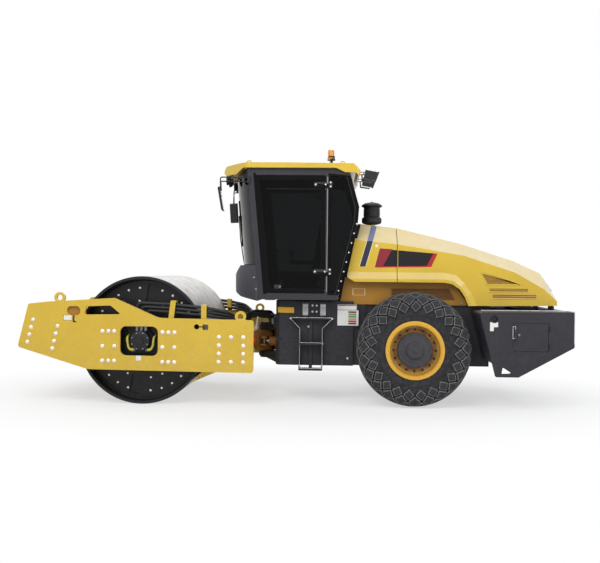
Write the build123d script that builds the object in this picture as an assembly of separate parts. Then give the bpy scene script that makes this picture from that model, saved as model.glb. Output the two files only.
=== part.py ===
from build123d import *
from math import atan2, cos, degrees, hypot, radians, sin
import os

# Single-drum vibratory soil compactor, built as an articulated assembly, in millimetres.
#
# X points forward to the drum, Y to the machine's left and Z up from the ground.  Stations
# along X are measured from a datum 1400 mm behind the drum's axle, close to the articulation.
# The finished solids are moved so that the origin lies on the ground under the middle of the
# machine's length.  Outlines are tables of (u, v, corner radius), one row to a corner.

# ------------------------------------------------------------------ driving dimensions
# Drum
drum_axle_x = 1400
drum_radius = 800
drum_width = 2130
drum_wall = 36
head_recess = 150            # from the drum's rim in to the face of its head
head_thickness = 40
head_boss_radius = 330
head_boss_out = 24
drum_hub_radius = 210
drum_hub_out = 60            # how far the hub stands out of the head
pocket_in = 470              # radial pockets in the head: start and end radius
pocket_out = 700
pocket_wide = 150
pocket_deep = 26
pocket_turns = (10, 100, 190, 280)   # degrees from straight ahead

# Drum mounts
carrier_y = 1015             # outer face of the plate that carries the drum's bearing
carrier_thick = 26
carrier_half_x = 460
carrier_z = (560, 1010)
mount_half_x = 520
mount_z = (505, 955)
mount_thick = 24
motor_radius = 150
motor_step = 60              # where the motor narrows, outside the carrier
motor_cap_radius = 95
motor_block_half = 80
motor_block_top = 900
motor_block_y = 1175
port_x = (-54, 0, 54)        # hose ports on the motor, ahead of the axle
port_y = 1105
port_z = 925
buffer_radius = 52
buffer_x = 380               # rubber buffers ahead of and behind the axle
buffer_rise = (-190, -50, 90)

# Scrapers
scraper_gap = 15             # blade tip to drum
scraper_long = 250           # blade, along the drum's tangent
scraper_thick = 16
scraper_inset = 20           # blade end inside the drum's edge
scraper_tube = 80
front_scraper = (-10, 73)    # degrees: place round the drum from straight ahead, climb of the blade
rear_scraper = (218.8, 136)
scraper_heel = (445, 412)
bracket_y = (-900, -300, 300, 900)
bracket_thick = 20
bracket_high = 60

# Rear axle and wheels
rear_axle_x = -2002
tyre_radius = 718
tyre_width = 520
tyre_outer_y = 1100          # outer wall of the tyre
tread_drop = 16              # the tread's shoulders below its crown
tread_in = 44                # tread shoulders inside the wall
shoulder_high = 78
sidewall_high = 198
bead_radius = 330
bead_half = 205              # tyre seat on each side of the wheel's middle
rim_flange_radius = 364
rim_flange_width = 24
rim_wall = 20
rim_play = 0.4               # between rim seat and tyre
disc_inset = 130             # rim disc behind the tyre's outer wall
disc_thickness = 22
disc_hole_radius = 190
disc_dish = 60               # how far the disc is dished towards its middle
hub_radius = 186
hub_flange = 44              # mounting flange outside the hub, behind the disc
hub_out = 78                 # hub cover in front of the disc
hub_deep = 150               # hub behind the disc
axle_gap = 6                 # axle housing to turning hub
axle_flange_radius = 165
axle_tube_radius = 120
axle_input = 330             # input tube ahead of the axle
axle_bulb_radius = 235
axle_saddle_y = (420, 560)
axle_saddle_half = 130
rail_arch_z = 940            # underside of the rails over the axle

# Front frame side plates
plate_outer_y = 1205
plate_thickness = 40
plate_nose_x = 2924
plate_nose_bottom_z = 709
plate_nose_top_x = 2792
plate_nose_top_z = 1246
plate_brow_x = 2539
plate_brow_z = 1274
plate_peak_x = 1708          # where the raised nose begins to fall towards the rear
plate_peak_z = 1328
plate_foot_x = 1158
plate_foot_z = 1089
plate_rear_x = -18
plate_rear_top_z = 1074
plate_rear_bottom_z = 427
plate_rise_x = 2040          # where the bottom edge begins to climb to the nose
plate_rise_z = 443
plate_corner_radius = 34
plate_bend_radius = 60
plate_sweep_radius = 250
window_half_x = 237          # opening over the drum's motor
window_half_z = 182
window_radius = 75
eye_radius = 68
eye_hole_radius = 34
eye_rise = 42                # eye centre above the plate's edge
front_eye_x = 2396
rear_eye_x = 145
brow_slot = [(2091, 1118, 24), (2056, 1221, 24), (1759, 1235, 24), (1623, 1128, 12)]
access_x = (2137, 2305)      # oval hole ahead of the drum
access_z = (1108, 1222)
access_radius = 50
key_hole = (685, 985, 33)    # x, z, radius
key_square = [(541, 946, 10), (611, 946, 10), (611, 1016, 10), (541, 1016, 10)]
key_slit = ((600, 690), (978, 992))

# Cross-members of the front frame
front_beam_x = 2616
front_beam_z = 868
front_beam_long = 400
front_beam_high = 366
front_beam_lean = 14.2       # degrees, top leaning back
beam_wall = 18
rear_beam_x = 265
rear_beam_z = 710
rear_beam_long = 350
rear_beam_high = 390
beam_flange = 30             # thickness of the bolted end flanges
beam_inset = 36              # tube smaller than its flange, each side

# Articulation
pivot_x = -60
hinge_z = 740                # height of the oscillation shaft
shaft_radius = 85
shaft_fit = 0.5              # radial running clearance
sleeve_wall = 55
retainer_thick = 25
retainer_out = 30
link_gap = 10                # between link flange and rear cross-member
link_half_width = 150
link_back = 110              # link block behind the pivot
link_waist = 60              # where it narrows, ahead of the pivot
link_tail_half = 90
link_high = 280
pin_radius = 45
pin_end = 10                 # pin beyond its lugs
lug_gap = 5                  # between link and lug
lug_half_width = 130
lug_thickness = 70
lug_foot = 220               # half width of a lug where it is welded on
lug_rib_y = 110
ear_y = 240                  # steering eye, from the centre line
ear_gap = 74                 # between the two plates of an ear
ear_plate = 20
ear_end = 48
ear_root = (100, 80)         # ear's root ahead of and behind the pivot
ear_root_y = 100
ear_pin_radius = 34
rod_room = 105               # clear room for a rod inside its ear
cylinder_base_x = -700
cylinder_pin_radius = 25
pin_pad_radius = 60
barrel_eye_radius = 42
barrel_eye_high = 68
barrel_radius = 50
barrel_neck = 80             # from the base pin to the barrel
barrel_to_eye = 210          # from the barrel's mouth to the rod's eye, straight ahead
steer_stroke = 268
cylinder_rod_radius = 28
rod_eye_radius = 44
rod_eye_high = 60
lock_x = (45, 85)            # red bar that locks the joint for transport
lock_y = (300, 360)
lock_z = (713, 833)
lock_pin_radius = 14

# Rear frame
chassis_front_x = -240
chassis_half_width = 600
chassis_bottom_z = 464
chassis_top_z = 1300
chassis_corner = (50, 80)    # plan chamfer of the front corners
chassis_box_rear_x = -1250
tunnel_half_width = 440
tunnel_bottom_z = 596
tunnel_top_z = 892
tunnel_deep = 640
rail_outer_y = 545
rail_thickness = 60
rail_top_z = 1262
rail_rear_x = -3000
rail_foot_z = 474
rail_leg_x = -2640
rail_arch_x = -1500
rail_neck_z = 700
rail_bars = [(-1420, (1100, 1200)), (-2300, (950, 1010)), (-2850, (950, 1010)), (-2700, (560, 660))]   # x, z

# Rear box
box_half_width = 1180
box_plate = 30               # side plates, deeper than the box between them
box_rear_x = -3895
box_front_x = -2757
box_top_z = 1222
box_bottom_z = 424
box_foot_x = -2959
box_undercut_x = -3233       # where the rear end begins to rise
box_undercut_z = 792
box_belly_z = 590            # underside between the side plates
box_door_x = (-3588, -3159)
box_door_z = (738, 1087)
door_rebate = 8
handle_in = 28
handle_wide = 16
handle_out = 20
handle_z = (865, 1004)
filler = (-2931, 1129, 42)   # x, z, radius
tie_hole = [(-3043, 544, 8), (-3158, 470, 8), (-3029, 463, 8)]

# Steps
step_x = -699                # middle of each set
step_half = 149
step_levels = (412, 742)
step_thick = 18
step_inset = 50              # treads end inside the cab's side
step_bend_z = 947            # where the side rails spread
step_rail_deep = 86
grip_bar_x = (-982, -422)
grip_bar_z = (1066, 1083)
top_bar_x = (-967, -512)
top_bar_z = (1272, 1290)
hanger_x = (-621, -849)
hanger_wide = 75

# Cab
cab_half_width = 800
cab_wall = 60
cab_floor_z = 1318
cab_floor_thick = 50
cab_floor_rear_x = -994
cab_sill_z = 1400
cab_header_z = 2905
cab_roof_z = 2993
cab_crown_x = -1160          # rear end of the side frames' top edge
cab_rear_edge = [(-1045, cab_floor_z), (-1060, 1428), (-1290, 2314), (-1304, 2506), (-1196, 2880)]
cab_lean = 0.0925            # the front pillar's lean forward, per unit of height
pillar_foot_x = -20          # front edge of the front pillar at the sill
pillar_wide = 92
door_rear_x = -880
door_gap = 6
door_thick = 36
door_bar = 46
door_hinge_z = (1651, 2766)
door_hinge_half = 26
door_hinge_long = 130
quarter_light = [(-930, cab_sill_z, 20), (-1010, cab_sill_z, 20), (-1238, 2318, 40), (-1250, 2500, 40),
                 (-1144, cab_header_z - 30, 30), (-930, cab_header_z, 20)]
screen_bow = 235             # windscreen middle ahead of its sides
screen_foot_z = 1755
glass_thick = 8
pane_thick = 6
pane_inset = 16              # side panes behind the cab's outer face
cab_mount_radius = 70
cab_mount_x = (-150, -850)
cab_mount_y = 450
cover_reach = 356            # lower front cover: its middle ahead of the sides
cover_wall = 40
cover_side_wall = 70
roof_half_width = 850
roof_nose_half = 420
roof_bend_x = 150            # where the roof's sides turn in towards its nose
roof_rear_x = -1318
roof_rear_z = 2938           # underside at the rear
roof_top_z = 3058
roof_outline = [(481, 2974, 30), (442, 2930, 20), (280, 2928, 20), (186, cab_roof_z, 20), (-1002, cab_roof_z, 20),
                (-1123, roof_rear_z, 20), (-1255, roof_rear_z, 10), (-1290, 2900, 10), (roof_rear_x, 2963, 20),
                (-1229, 3050, 30), (-404, roof_top_z, 0), (300, roof_top_z, 60), (442, 3050, 40)]
seat_half = 260
seat_z = 1560
seat_back_z = 2340
wheel_radius = 190
wheel_place = (-60, 0, 2060)
mirror_outline = [(372, 2391, 10), (398, 2391, 10), (432, 2685, 10), (400, 2685, 10)]
mirror_y = (1065, 1225)
rear_lamp = ((-1545, -1400), (480, 660), (2822, 2972))
rear_lamp_foot = (-1240, -1225)
front_lamp_x = (380, 436)
front_lamp_y = (250, 490)
front_lamp_half = 65
front_lamp_z = (2820, 2928)
beacon_place = (-936, 560)
beacon_foot_z = 3130
beacon_top_z = 3255

# Engine cover
cowl_front_x = -1321
cowl_nose_x = -1156
cowl_foot_x = -1259
cowl_top_z = 2309
cowl_open_z = 1900           # above this height the cowl has a front wall
hood_split_x = -1805
hood_gap = 8
hood_half_width = 700        # over the ledge along the lower edge
ledge_out = 45
ledge_lip = 40               # upright strip under the ledge
ledge_high = 126
hood_shoulder_in = 250       # shoulder to the edge of the flat top
hood_wall = 24
hood_rear_x = -3852
hood_end_wall = 40
hood_bottom_z = 1262
cover_cut_z = 1150           # below every edge of the covers
flare_bottom_z = 1556
hood_side_y = hood_half_width - ledge_out
hood_line = [(hood_split_x, hood_side_y, 2262, 2040), (-2643, hood_side_y, 2062, 1904),
             (-3308, hood_side_y, 1850, 1690), (-3665, hood_side_y, 1690, 1483),
             (hood_rear_x, hood_side_y - 80, 1440, 1330)]        # x, half width, top z, shoulder z
ledge_path = [(-1100, flare_bottom_z, -1100, 1682), (-2400, flare_bottom_z, -2400, 1682),
              (-2500, 1537, -2548, 1655), (-2593, 1474, -2659, 1554), (-2660, 1376, -2752, 1420),
              (-2708, hood_bottom_z, -2826, hood_bottom_z)]      # lower x, z, upper x, z
vent_deep = 12               # depth of the vents' recesses
vent_triangle = [(-2862, 1686, 16), (-2943, 1539, 16), (-3359, 1544, 10)]
louvres = [((-3463, -2975), (1445, 1487)), ((-3568, -3018), (1361, 1409))]    # x, z
grille_long = 230
grille_half = 380
bay_half_width = 572
bay_wall = 30
bay_outline = [(-1080, chassis_top_z, 0), (-1140, 1640, 0), (-2480, 1640, 0), (-2700, 1300, 0)]
bay_grille = [(-1726, 1474, 10), (-2472, 1482, 10), (-2570, 1323, 10), (-1726, 1323, 10)]
rail_bay_x = -2700
cowl_rest_x = (-1780, -1210)
cowl_rest_z = (1596, 1620)
hood_pivot = (-3828, 1248)
knuckle_radius = 22
knuckle_y = 380              # middle of each hinge knuckle
knuckle_long = 90
hinge_pin_radius = 10
cleaner_place = (-1477, 300)
cleaner_cap_z = 2318
cleaner_neck_radius = 62
cleaner_radius = 107
cleaner_cap_radius = 131

# Hoses
hose_radius = 21
hose_levels = (0, 48, 96)
bulkhead_y = 470             # plate on the rear cross-member where the hoses end
bulkhead_foot = 40
hose_y = 1110
guide_stations = [(1019, 985, 1302), (605, 605, 1254)]    # foot x, top x, top z
guide_wide = 66
guide_y = 1145
guide_lip_y = 1060

mid_x = (plate_nose_x + box_rear_x) / 2
side_inner_y = plate_outer_y - plate_thickness
parts = {}


# ------------------------------------------------------------------ small helpers
def prism(rows, along, start, end):
    """Solid of constant outline, swept along one axis from start to end.

    rows hold (u, v, corner radius); u, v are (y, z) along x, (x, z) along y, (x, y) along z.
    """
    put = {"x": lambda u, v: (start, u, v), "y": lambda u, v: (u, start, v), "z": lambda u, v: (u, v, start)}
    way = {"x": (1, 0, 0), "y": (0, 1, 0), "z": (0, 0, 1)}[along]
    corners = [put[along](u, v) for u, v, _ in rows]
    wire = FilletPolyline(*corners, radius=[r for _, _, r in rows], close=True)
    return extrude(Face(wire), end - start, dir=way)


def rectangle(x, z, radius):
    """Outline rows of a rectangle from two (low, high) pairs, with one corner radius."""
    return [(x[0], z[0], radius), (x[1], z[0], radius), (x[1], z[1], radius), (x[0], z[1], radius)]


def block(x, y, z):
    """Box from three (low, high) pairs, in either order."""
    pairs = [sorted(pair) for pair in (x, y, z)]
    return Pos(*[(lo + hi) / 2 for lo, hi in pairs]) * Box(*[hi - lo for lo, hi in pairs])


def rod(along, u, v, radius, start, end):
    """Round bar along an axis, centred on (u, v) in prism's outline axes."""
    middle, length = (start + end) / 2, abs(end - start)
    if along == "x":
        return Pos(middle, u, v) * Rot(0, 90, 0) * Cylinder(radius, length)
    if along == "y":
        return Pos(u, middle, v) * Rot(90, 0, 0) * Cylinder(radius, length)
    return Pos(u, v, middle) * Cylinder(radius, length)


def turned(rows, x, z):
    """Solid of revolution about a crosswise axle at (x, z); rows hold (y, radius, corner radius)."""
    wire = FilletPolyline(*[(r, y, 0) for y, r, _ in rows], radius=[c for _, _, c in rows], close=True)
    return Pos(x, 0, z) * revolve(Face(wire), Axis.Y)


def joined(shapes):
    """Several shapes as one."""
    whole = shapes[0]
    for shape in shapes[1:]:
        whole += shape
    return whole


def mirrored(shape):
    """The same shape on the machine's other side."""
    return mirror(shape, Plane.XZ)


def both(shape):
    """A shape and its mirror image on the other side, as one."""
    return shape + mirrored(shape)


def tube(points, radii, radius):
    """Round hose along straight runs joined by arcs."""
    path = FilletPolyline(*points, radius=radii)
    start = Plane(path @ 0, z_dir=path % 0)
    return sweep(start * Circle(radius), path=path)


# ------------------------------------------------------------------ drum
def make_drum():
    """Shell and recessed heads; they turn together on the crosswise axle."""
    half = drum_width / 2
    inner = drum_radius - drum_wall
    shell = [(-half, inner, 0), (half, inner, 0), (half, drum_radius, 12), (-half, drum_radius, 12)]
    parts["drum_shell"] = turned(shell, drum_axle_x, drum_radius)

    face = half - head_recess
    boss = face + head_boss_out
    head = turned([(face - head_thickness, 0, 0), (face + drum_hub_out, 0, 0),
                   (face + drum_hub_out, drum_hub_radius, 10), (boss, drum_hub_radius + 6, 0),
                   (boss, head_boss_radius, 8), (face, head_boss_radius + 6, 0), (face, inner, 0),
                   (face - head_thickness, inner, 0)], drum_axle_x, drum_radius)
    for turn in pocket_turns:
        pocket = block((pocket_in, pocket_out), (face - pocket_deep, face + 1), (-pocket_wide / 2, pocket_wide / 2))
        head -= Pos(drum_axle_x, 0, drum_radius) * Rot(0, -turn, 0) * pocket
    parts["drum_heads"] = both(head)


# ------------------------------------------------------------------ front frame
def plate_edge_z(x):
    """Height of the side plate's top edge at a station, on the nose or behind the slope."""
    x0, z0, x1, z1 = plate_rear_x, plate_rear_top_z, plate_foot_x, plate_foot_z
    if x > plate_peak_x:
        x0, z0, x1, z1 = plate_peak_x, plate_peak_z, plate_brow_x, plate_brow_z
    return z0 + (x - x0) / (x1 - x0) * (z1 - z0)


def window_outline():
    """Outline of the opening over the drum's motor, in side plate and mount alike."""
    return rectangle((drum_axle_x - window_half_x, drum_axle_x + window_half_x),
                     (drum_radius - window_half_z, drum_radius + window_half_z), window_radius)


def make_side_plate():
    """Left side plate: nose raised over the drum, motor window, slots and two lifting eyes."""
    plate = prism([(plate_nose_x, plate_nose_bottom_z, plate_corner_radius),
                   (plate_nose_top_x, plate_nose_top_z, plate_corner_radius),
                   (plate_brow_x, plate_brow_z, plate_bend_radius),
                   (plate_peak_x, plate_peak_z, plate_bend_radius),
                   (plate_foot_x, plate_foot_z, plate_sweep_radius),
                   (plate_rear_x, plate_rear_top_z, plate_corner_radius),
                   (plate_rear_x, plate_rear_bottom_z, plate_corner_radius),
                   (plate_rise_x, plate_rise_z, plate_sweep_radius)],
                  "y", side_inner_y, plate_outer_y)
    through = side_inner_y - 1, plate_outer_y + 1
    for x in (front_eye_x, rear_eye_x):
        eye_z = plate_edge_z(x) + eye_rise
        plate += rod("y", x, eye_z, eye_radius, side_inner_y, plate_outer_y)
        plate -= rod("y", x, eye_z, eye_hole_radius, *through)
    for outline in (window_outline(), brow_slot, rectangle(access_x, access_z, access_radius), key_square):
        plate -= prism(outline, "y", *through)
    plate -= rod("y", *key_hole, *through)
    plate -= block(key_slit[0], through, key_slit[1])
    return plate


def cross_beam(long, high):
    """Box tube between the side plates with its bolted end flanges, about the origin."""
    tube_x, tube_z = long - 2 * beam_inset, high - 2 * beam_inset
    beam = Box(tube_x, 2 * side_inner_y, tube_z)
    beam -= Box(tube_x - 2 * beam_wall, 2 * side_inner_y + 2, tube_z - 2 * beam_wall)
    flange = block((-long / 2, long / 2), (side_inner_y - beam_flange, side_inner_y), (-high / 2, high / 2))
    return beam + both(flange)


def make_front_frame():
    """Side plates and the two cross-members that join them."""
    left = make_side_plate()
    parts["side_plate_left"] = left
    parts["side_plate_right"] = mirrored(left)

    nose = Pos(front_beam_x, 0, front_beam_z) * Rot(0, -front_beam_lean, 0)
    parts["cross_member_front"] = nose * cross_beam(front_beam_long, front_beam_high)

    # the rear cross-member carries the bearing sleeve of the oscillation shaft
    rear = Pos(rear_beam_x, 0, rear_beam_z) * cross_beam(rear_beam_long, rear_beam_high)
    back, front = rear_beam_x - rear_beam_long / 2, rear_beam_x + rear_beam_long / 2
    rear += rod("x", 0, hinge_z, shaft_radius + sleeve_wall, back, front)
    rear -= rod("x", 0, hinge_z, shaft_radius + shaft_fit, back - 1, front + 1)
    parts["cross_member_rear"] = rear

    # red transport lock on the rear cross-member's face
    bar = block(lock_x, lock_y, lock_z)
    bar -= rod("y", sum(lock_x) / 2, lock_z[1] - 2 * lock_pin_radius, lock_pin_radius, lock_y[0] - 1, lock_y[1] + 1)
    middle = sum(lock_z) / 2
    bar += block((lock_x[1] - 1, back + beam_inset), (lock_y[0] + 10, lock_y[1] - 10), (middle - 20, middle + 20))
    parts["lock_bar"] = bar


def make_drum_mounts():
    """On each side a bolted plate, rubber buffers, the bearing's carrier and the drum's motor."""
    x = drum_axle_x
    inside = side_inner_y - mount_thick
    mount = prism(rectangle((x - mount_half_x, x + mount_half_x), mount_z, 40), "y", inside, side_inner_y)
    mount -= prism(window_outline(), "y", inside - 1, side_inner_y + 1)
    carrier = prism(rectangle((x - carrier_half_x, x + carrier_half_x), carrier_z, 60),
                    "y", carrier_y - carrier_thick, carrier_y)
    parts["drum_mounts"] = both(mount) + both(carrier)

    pads = [rod("y", x + place, drum_radius + rise, buffer_radius, carrier_y, inside)
            for place in (-buffer_x, buffer_x) for rise in buffer_rise]
    parts["drum_buffers"] = both(joined(pads))

    motor = rod("y", x, drum_radius, motor_radius, carrier_y, carrier_y + motor_step)
    motor += rod("y", x, drum_radius, motor_cap_radius, carrier_y + motor_step, side_inner_y + 20)
    motor += block((x - motor_block_half, x + motor_block_half), (carrier_y + motor_step - 20, motor_block_y),
                   (drum_radius - motor_block_half, motor_block_top))
    for place in port_x:
        motor += rod("z", x + place, port_y, hose_radius + 2, motor_block_top - 5, port_z)
    parts["drum_motors"] = both(motor)


def scraper_blade(turn, climb, way):
    """Blade across the drum: tip at an angle round the drum, then along the climb; way is +1 ahead."""
    reach = drum_radius + scraper_gap
    x, z = drum_axle_x + reach * cos(radians(turn)), drum_radius + reach * sin(radians(turn))
    run, rise = scraper_long * cos(radians(climb)), scraper_long * sin(radians(climb))
    out_x, out_z = way * scraper_thick * sin(radians(climb)), -way * scraper_thick * cos(radians(climb))
    half = drum_width / 2 - scraper_inset
    blade = prism([(x, z, 0), (x + run, z + rise, 0), (x + run + out_x, z + rise + out_z, 0),
                   (x + out_x, z + out_z, 0)], "y", -half, half)
    return blade, (x + out_x, z + out_z), (x + run + out_x, z + rise + out_z)


def make_scrapers():
    """Front scraper on brackets from the nose beam, rear scraper on a tube between the plates."""
    ahead, (tip_x, tip_z), (end_x, end_z) = scraper_blade(*front_scraper, 1)
    core = Box(front_beam_long - 2 * beam_inset, 2 * side_inner_y, front_beam_high - 2 * beam_inset)
    core = Pos(front_beam_x, 0, front_beam_z) * Rot(0, -front_beam_lean, 0) * core
    for y in bracket_y:
        bracket = prism([((tip_x + end_x) / 2, (tip_z + end_z) / 2, 0), (front_beam_x, front_beam_z, 0),
                         (front_beam_x, front_beam_z + bracket_high, 0), (end_x, end_z, 0)],
                        "y", y - bracket_thick / 2, y + bracket_thick / 2)
        ahead += bracket - core

    behind, (tip_x, tip_z), (end_x, end_z) = scraper_blade(*rear_scraper, -1)
    heel_x, heel_z = scraper_heel
    behind += block((heel_x, end_x + scraper_thick), (-side_inner_y, side_inner_y),
                    (end_z - 20, end_z - 20 + scraper_tube))
    for y in bracket_y:
        behind += prism([(tip_x, tip_z, 0), (end_x, end_z, 0), (heel_x, end_z, 0), (heel_x, heel_z, 0)],
                        "y", y - bracket_thick / 2, y + bracket_thick / 2)
    parts["scrapers"] = ahead + behind


# ------------------------------------------------------------------ articulation
def make_link():
    """Hinge block between the frames: it yaws on the upright pins and carries the oscillation shaft."""
    low, high = hinge_z - link_high / 2, hinge_z + link_high / 2
    flange_x = rear_beam_x - rear_beam_long / 2 - link_gap
    nose_x, tail_x = pivot_x + link_waist, pivot_x - link_back
    link = prism([(tail_x, -link_tail_half, 60), (nose_x, -link_half_width, 30), (flange_x, -link_half_width, 0),
                  (flange_x, link_half_width, 0), (nose_x, link_half_width, 30), (tail_x, link_tail_half, 60)],
                 "z", low, high)
    far_x = rear_beam_x + rear_beam_long / 2
    link += rod("x", 0, hinge_z, shaft_radius, flange_x - 1, far_x + 5 + retainer_thick)
    link += rod("x", 0, hinge_z, shaft_radius + retainer_out, far_x + 5, far_x + 5 + retainer_thick)
    for side in (-1, 1):
        link -= block((tail_x, nose_x), (side * (ear_y - rod_room), side * (ear_y + ear_end + 1)),
                      (hinge_z - ear_gap / 2, hinge_z + ear_gap / 2))
        for level in (-1, 1):
            inside = hinge_z + level * ear_gap / 2
            outside = inside + level * ear_plate
            low_z, high_z = min(inside, outside), max(inside, outside)
            link += prism([(pivot_x - ear_end, side * (ear_y - 20), 0), (pivot_x - ear_end, side * (ear_y + ear_end), 40),
                           (pivot_x + ear_end, side * (ear_y + ear_end), 40), (pivot_x + ear_root[0], side * ear_root_y, 0),
                           (pivot_x - ear_root[1], side * ear_root_y, 0)], "z", low_z, high_z)
            link += rod("z", pivot_x, side * ear_y, ear_pin_radius, inside + level * 10, outside + level * 12)
    link -= rod("z", pivot_x, 0, pin_radius + shaft_fit, low - 1, high + 1)
    parts["hinge_link"] = link


def make_cylinders():
    """Steering cylinders from the rear frame to the link's ears, one each side."""
    mouth_x = pivot_x - barrel_to_eye
    root_x = cylinder_base_x + barrel_neck
    foot = hinge_z - barrel_eye_high / 2, hinge_z + barrel_eye_high / 2
    for name, side in (("left", 1), ("right", -1)):
        y = side * ear_y
        barrel = rod("z", cylinder_base_x, y, barrel_eye_radius, *foot)
        barrel += block((cylinder_base_x, root_x + 10), (y - 30, y + 30), foot)
        barrel += rod("x", y, hinge_z, barrel_radius, root_x, mouth_x)
        barrel -= rod("x", y, hinge_z, cylinder_rod_radius + shaft_fit, root_x, mouth_x + 1)
        barrel -= rod("z", cylinder_base_x, y, cylinder_pin_radius + shaft_fit, foot[0] - 1, foot[1] + 1)
        parts[f"steer_barrel_{name}"] = barrel
        piston = rod("x", y, hinge_z, cylinder_rod_radius, root_x + steer_stroke / 2 + 5, pivot_x - 30)
        piston += rod("z", pivot_x, y, rod_eye_radius, hinge_z - rod_eye_high / 2, hinge_z + rod_eye_high / 2)
        parts[f"steer_rod_{name}"] = piston


# ------------------------------------------------------------------ wheels and axle
def make_wheels():
    """Rear wheels: tyre, dished rim and planetary hub on each side."""
    crown = tyre_width / 2
    middle = tyre_outer_y - crown
    disc_y = tyre_outer_y - disc_inset
    wall, shoulder, edge = tyre_radius - sidewall_high, tyre_radius - shoulder_high, tyre_radius - tread_drop
    tyre_rows = [(middle - bead_half, bead_radius, 0), (middle + bead_half, bead_radius, 0)]
    for way in (1, -1):
        wall_rows = [(middle + way * bead_half, bead_radius + 40, 30), (middle + way * crown, wall, 120),
                     (middle + way * (crown - 6), shoulder, 60), (middle + way * (crown - tread_in), edge, 40)]
        tyre_rows += wall_rows + [(middle, tyre_radius, 900)] if way > 0 else wall_rows[::-1]
    tyre = turned(tyre_rows, rear_axle_x, tyre_radius)

    seat = bead_radius - rim_play
    well = seat - rim_wall
    lip, end = bead_half + 1, bead_half + 1 + rim_flange_width
    dish = disc_hole_radius + disc_dish
    rim = turned([(middle - end, rim_flange_radius, 6), (middle - lip, rim_flange_radius, 6),
                  (middle - lip, seat, 0), (middle + lip, seat, 0), (middle + lip, rim_flange_radius, 6),
                  (middle + end, rim_flange_radius, 6), (middle + end, well, 0), (disc_y + 40, well - 14, 20),
                  (disc_y + disc_thickness, dish, 20), (disc_y + disc_thickness, disc_hole_radius, 0),
                  (disc_y, disc_hole_radius, 0), (disc_y, dish, 20), (disc_y - disc_dish, well - 14, 30),
                  (middle - end, well, 0)], rear_axle_x, tyre_radius)
    face = disc_y + disc_thickness
    hub = turned([(disc_y - hub_deep, 0, 0), (face + hub_out, 0, 0), (face + hub_out, 96, 10), (face + 52, 118, 6),
                  (face + 40, hub_radius - 8, 10), (face, hub_radius, 0), (disc_y, hub_radius, 0),
                  (disc_y, hub_radius + hub_flange, 0), (disc_y - 26, hub_radius + hub_flange, 6),
                  (disc_y - 30, hub_radius - 10, 0), (disc_y - hub_deep, hub_radius - 26, 10)],
                 rear_axle_x, tyre_radius)
    for part, shape in (("tyre", tyre), ("rim", rim), ("wheel_hub", hub)):
        parts[f"{part}_left"] = shape
        parts[f"{part}_right"] = mirrored(shape)


def make_axle():
    """Rear axle housing with its bulb, input tube and the saddles that carry the rails."""
    end = tyre_outer_y - disc_inset - hub_deep - axle_gap
    half = turned([(0, 0, 0), (end, 0, 0), (end, axle_flange_radius, 0), (end - 40, axle_flange_radius, 6),
                   (end - 52, axle_tube_radius, 10), (axle_bulb_radius + 40, axle_tube_radius + 10, 60),
                   (150, axle_bulb_radius, 60), (0, axle_bulb_radius, 0)], rear_axle_x, tyre_radius)
    axle = both(half)
    axle += rod("x", 0, tyre_radius, axle_tube_radius, rear_axle_x, rear_axle_x + axle_input)
    axle += both(block((rear_axle_x - axle_saddle_half, rear_axle_x + axle_saddle_half), axle_saddle_y,
                       (tyre_radius + axle_tube_radius / 2, rail_arch_z)))
    parts["rear_axle"] = axle


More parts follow.
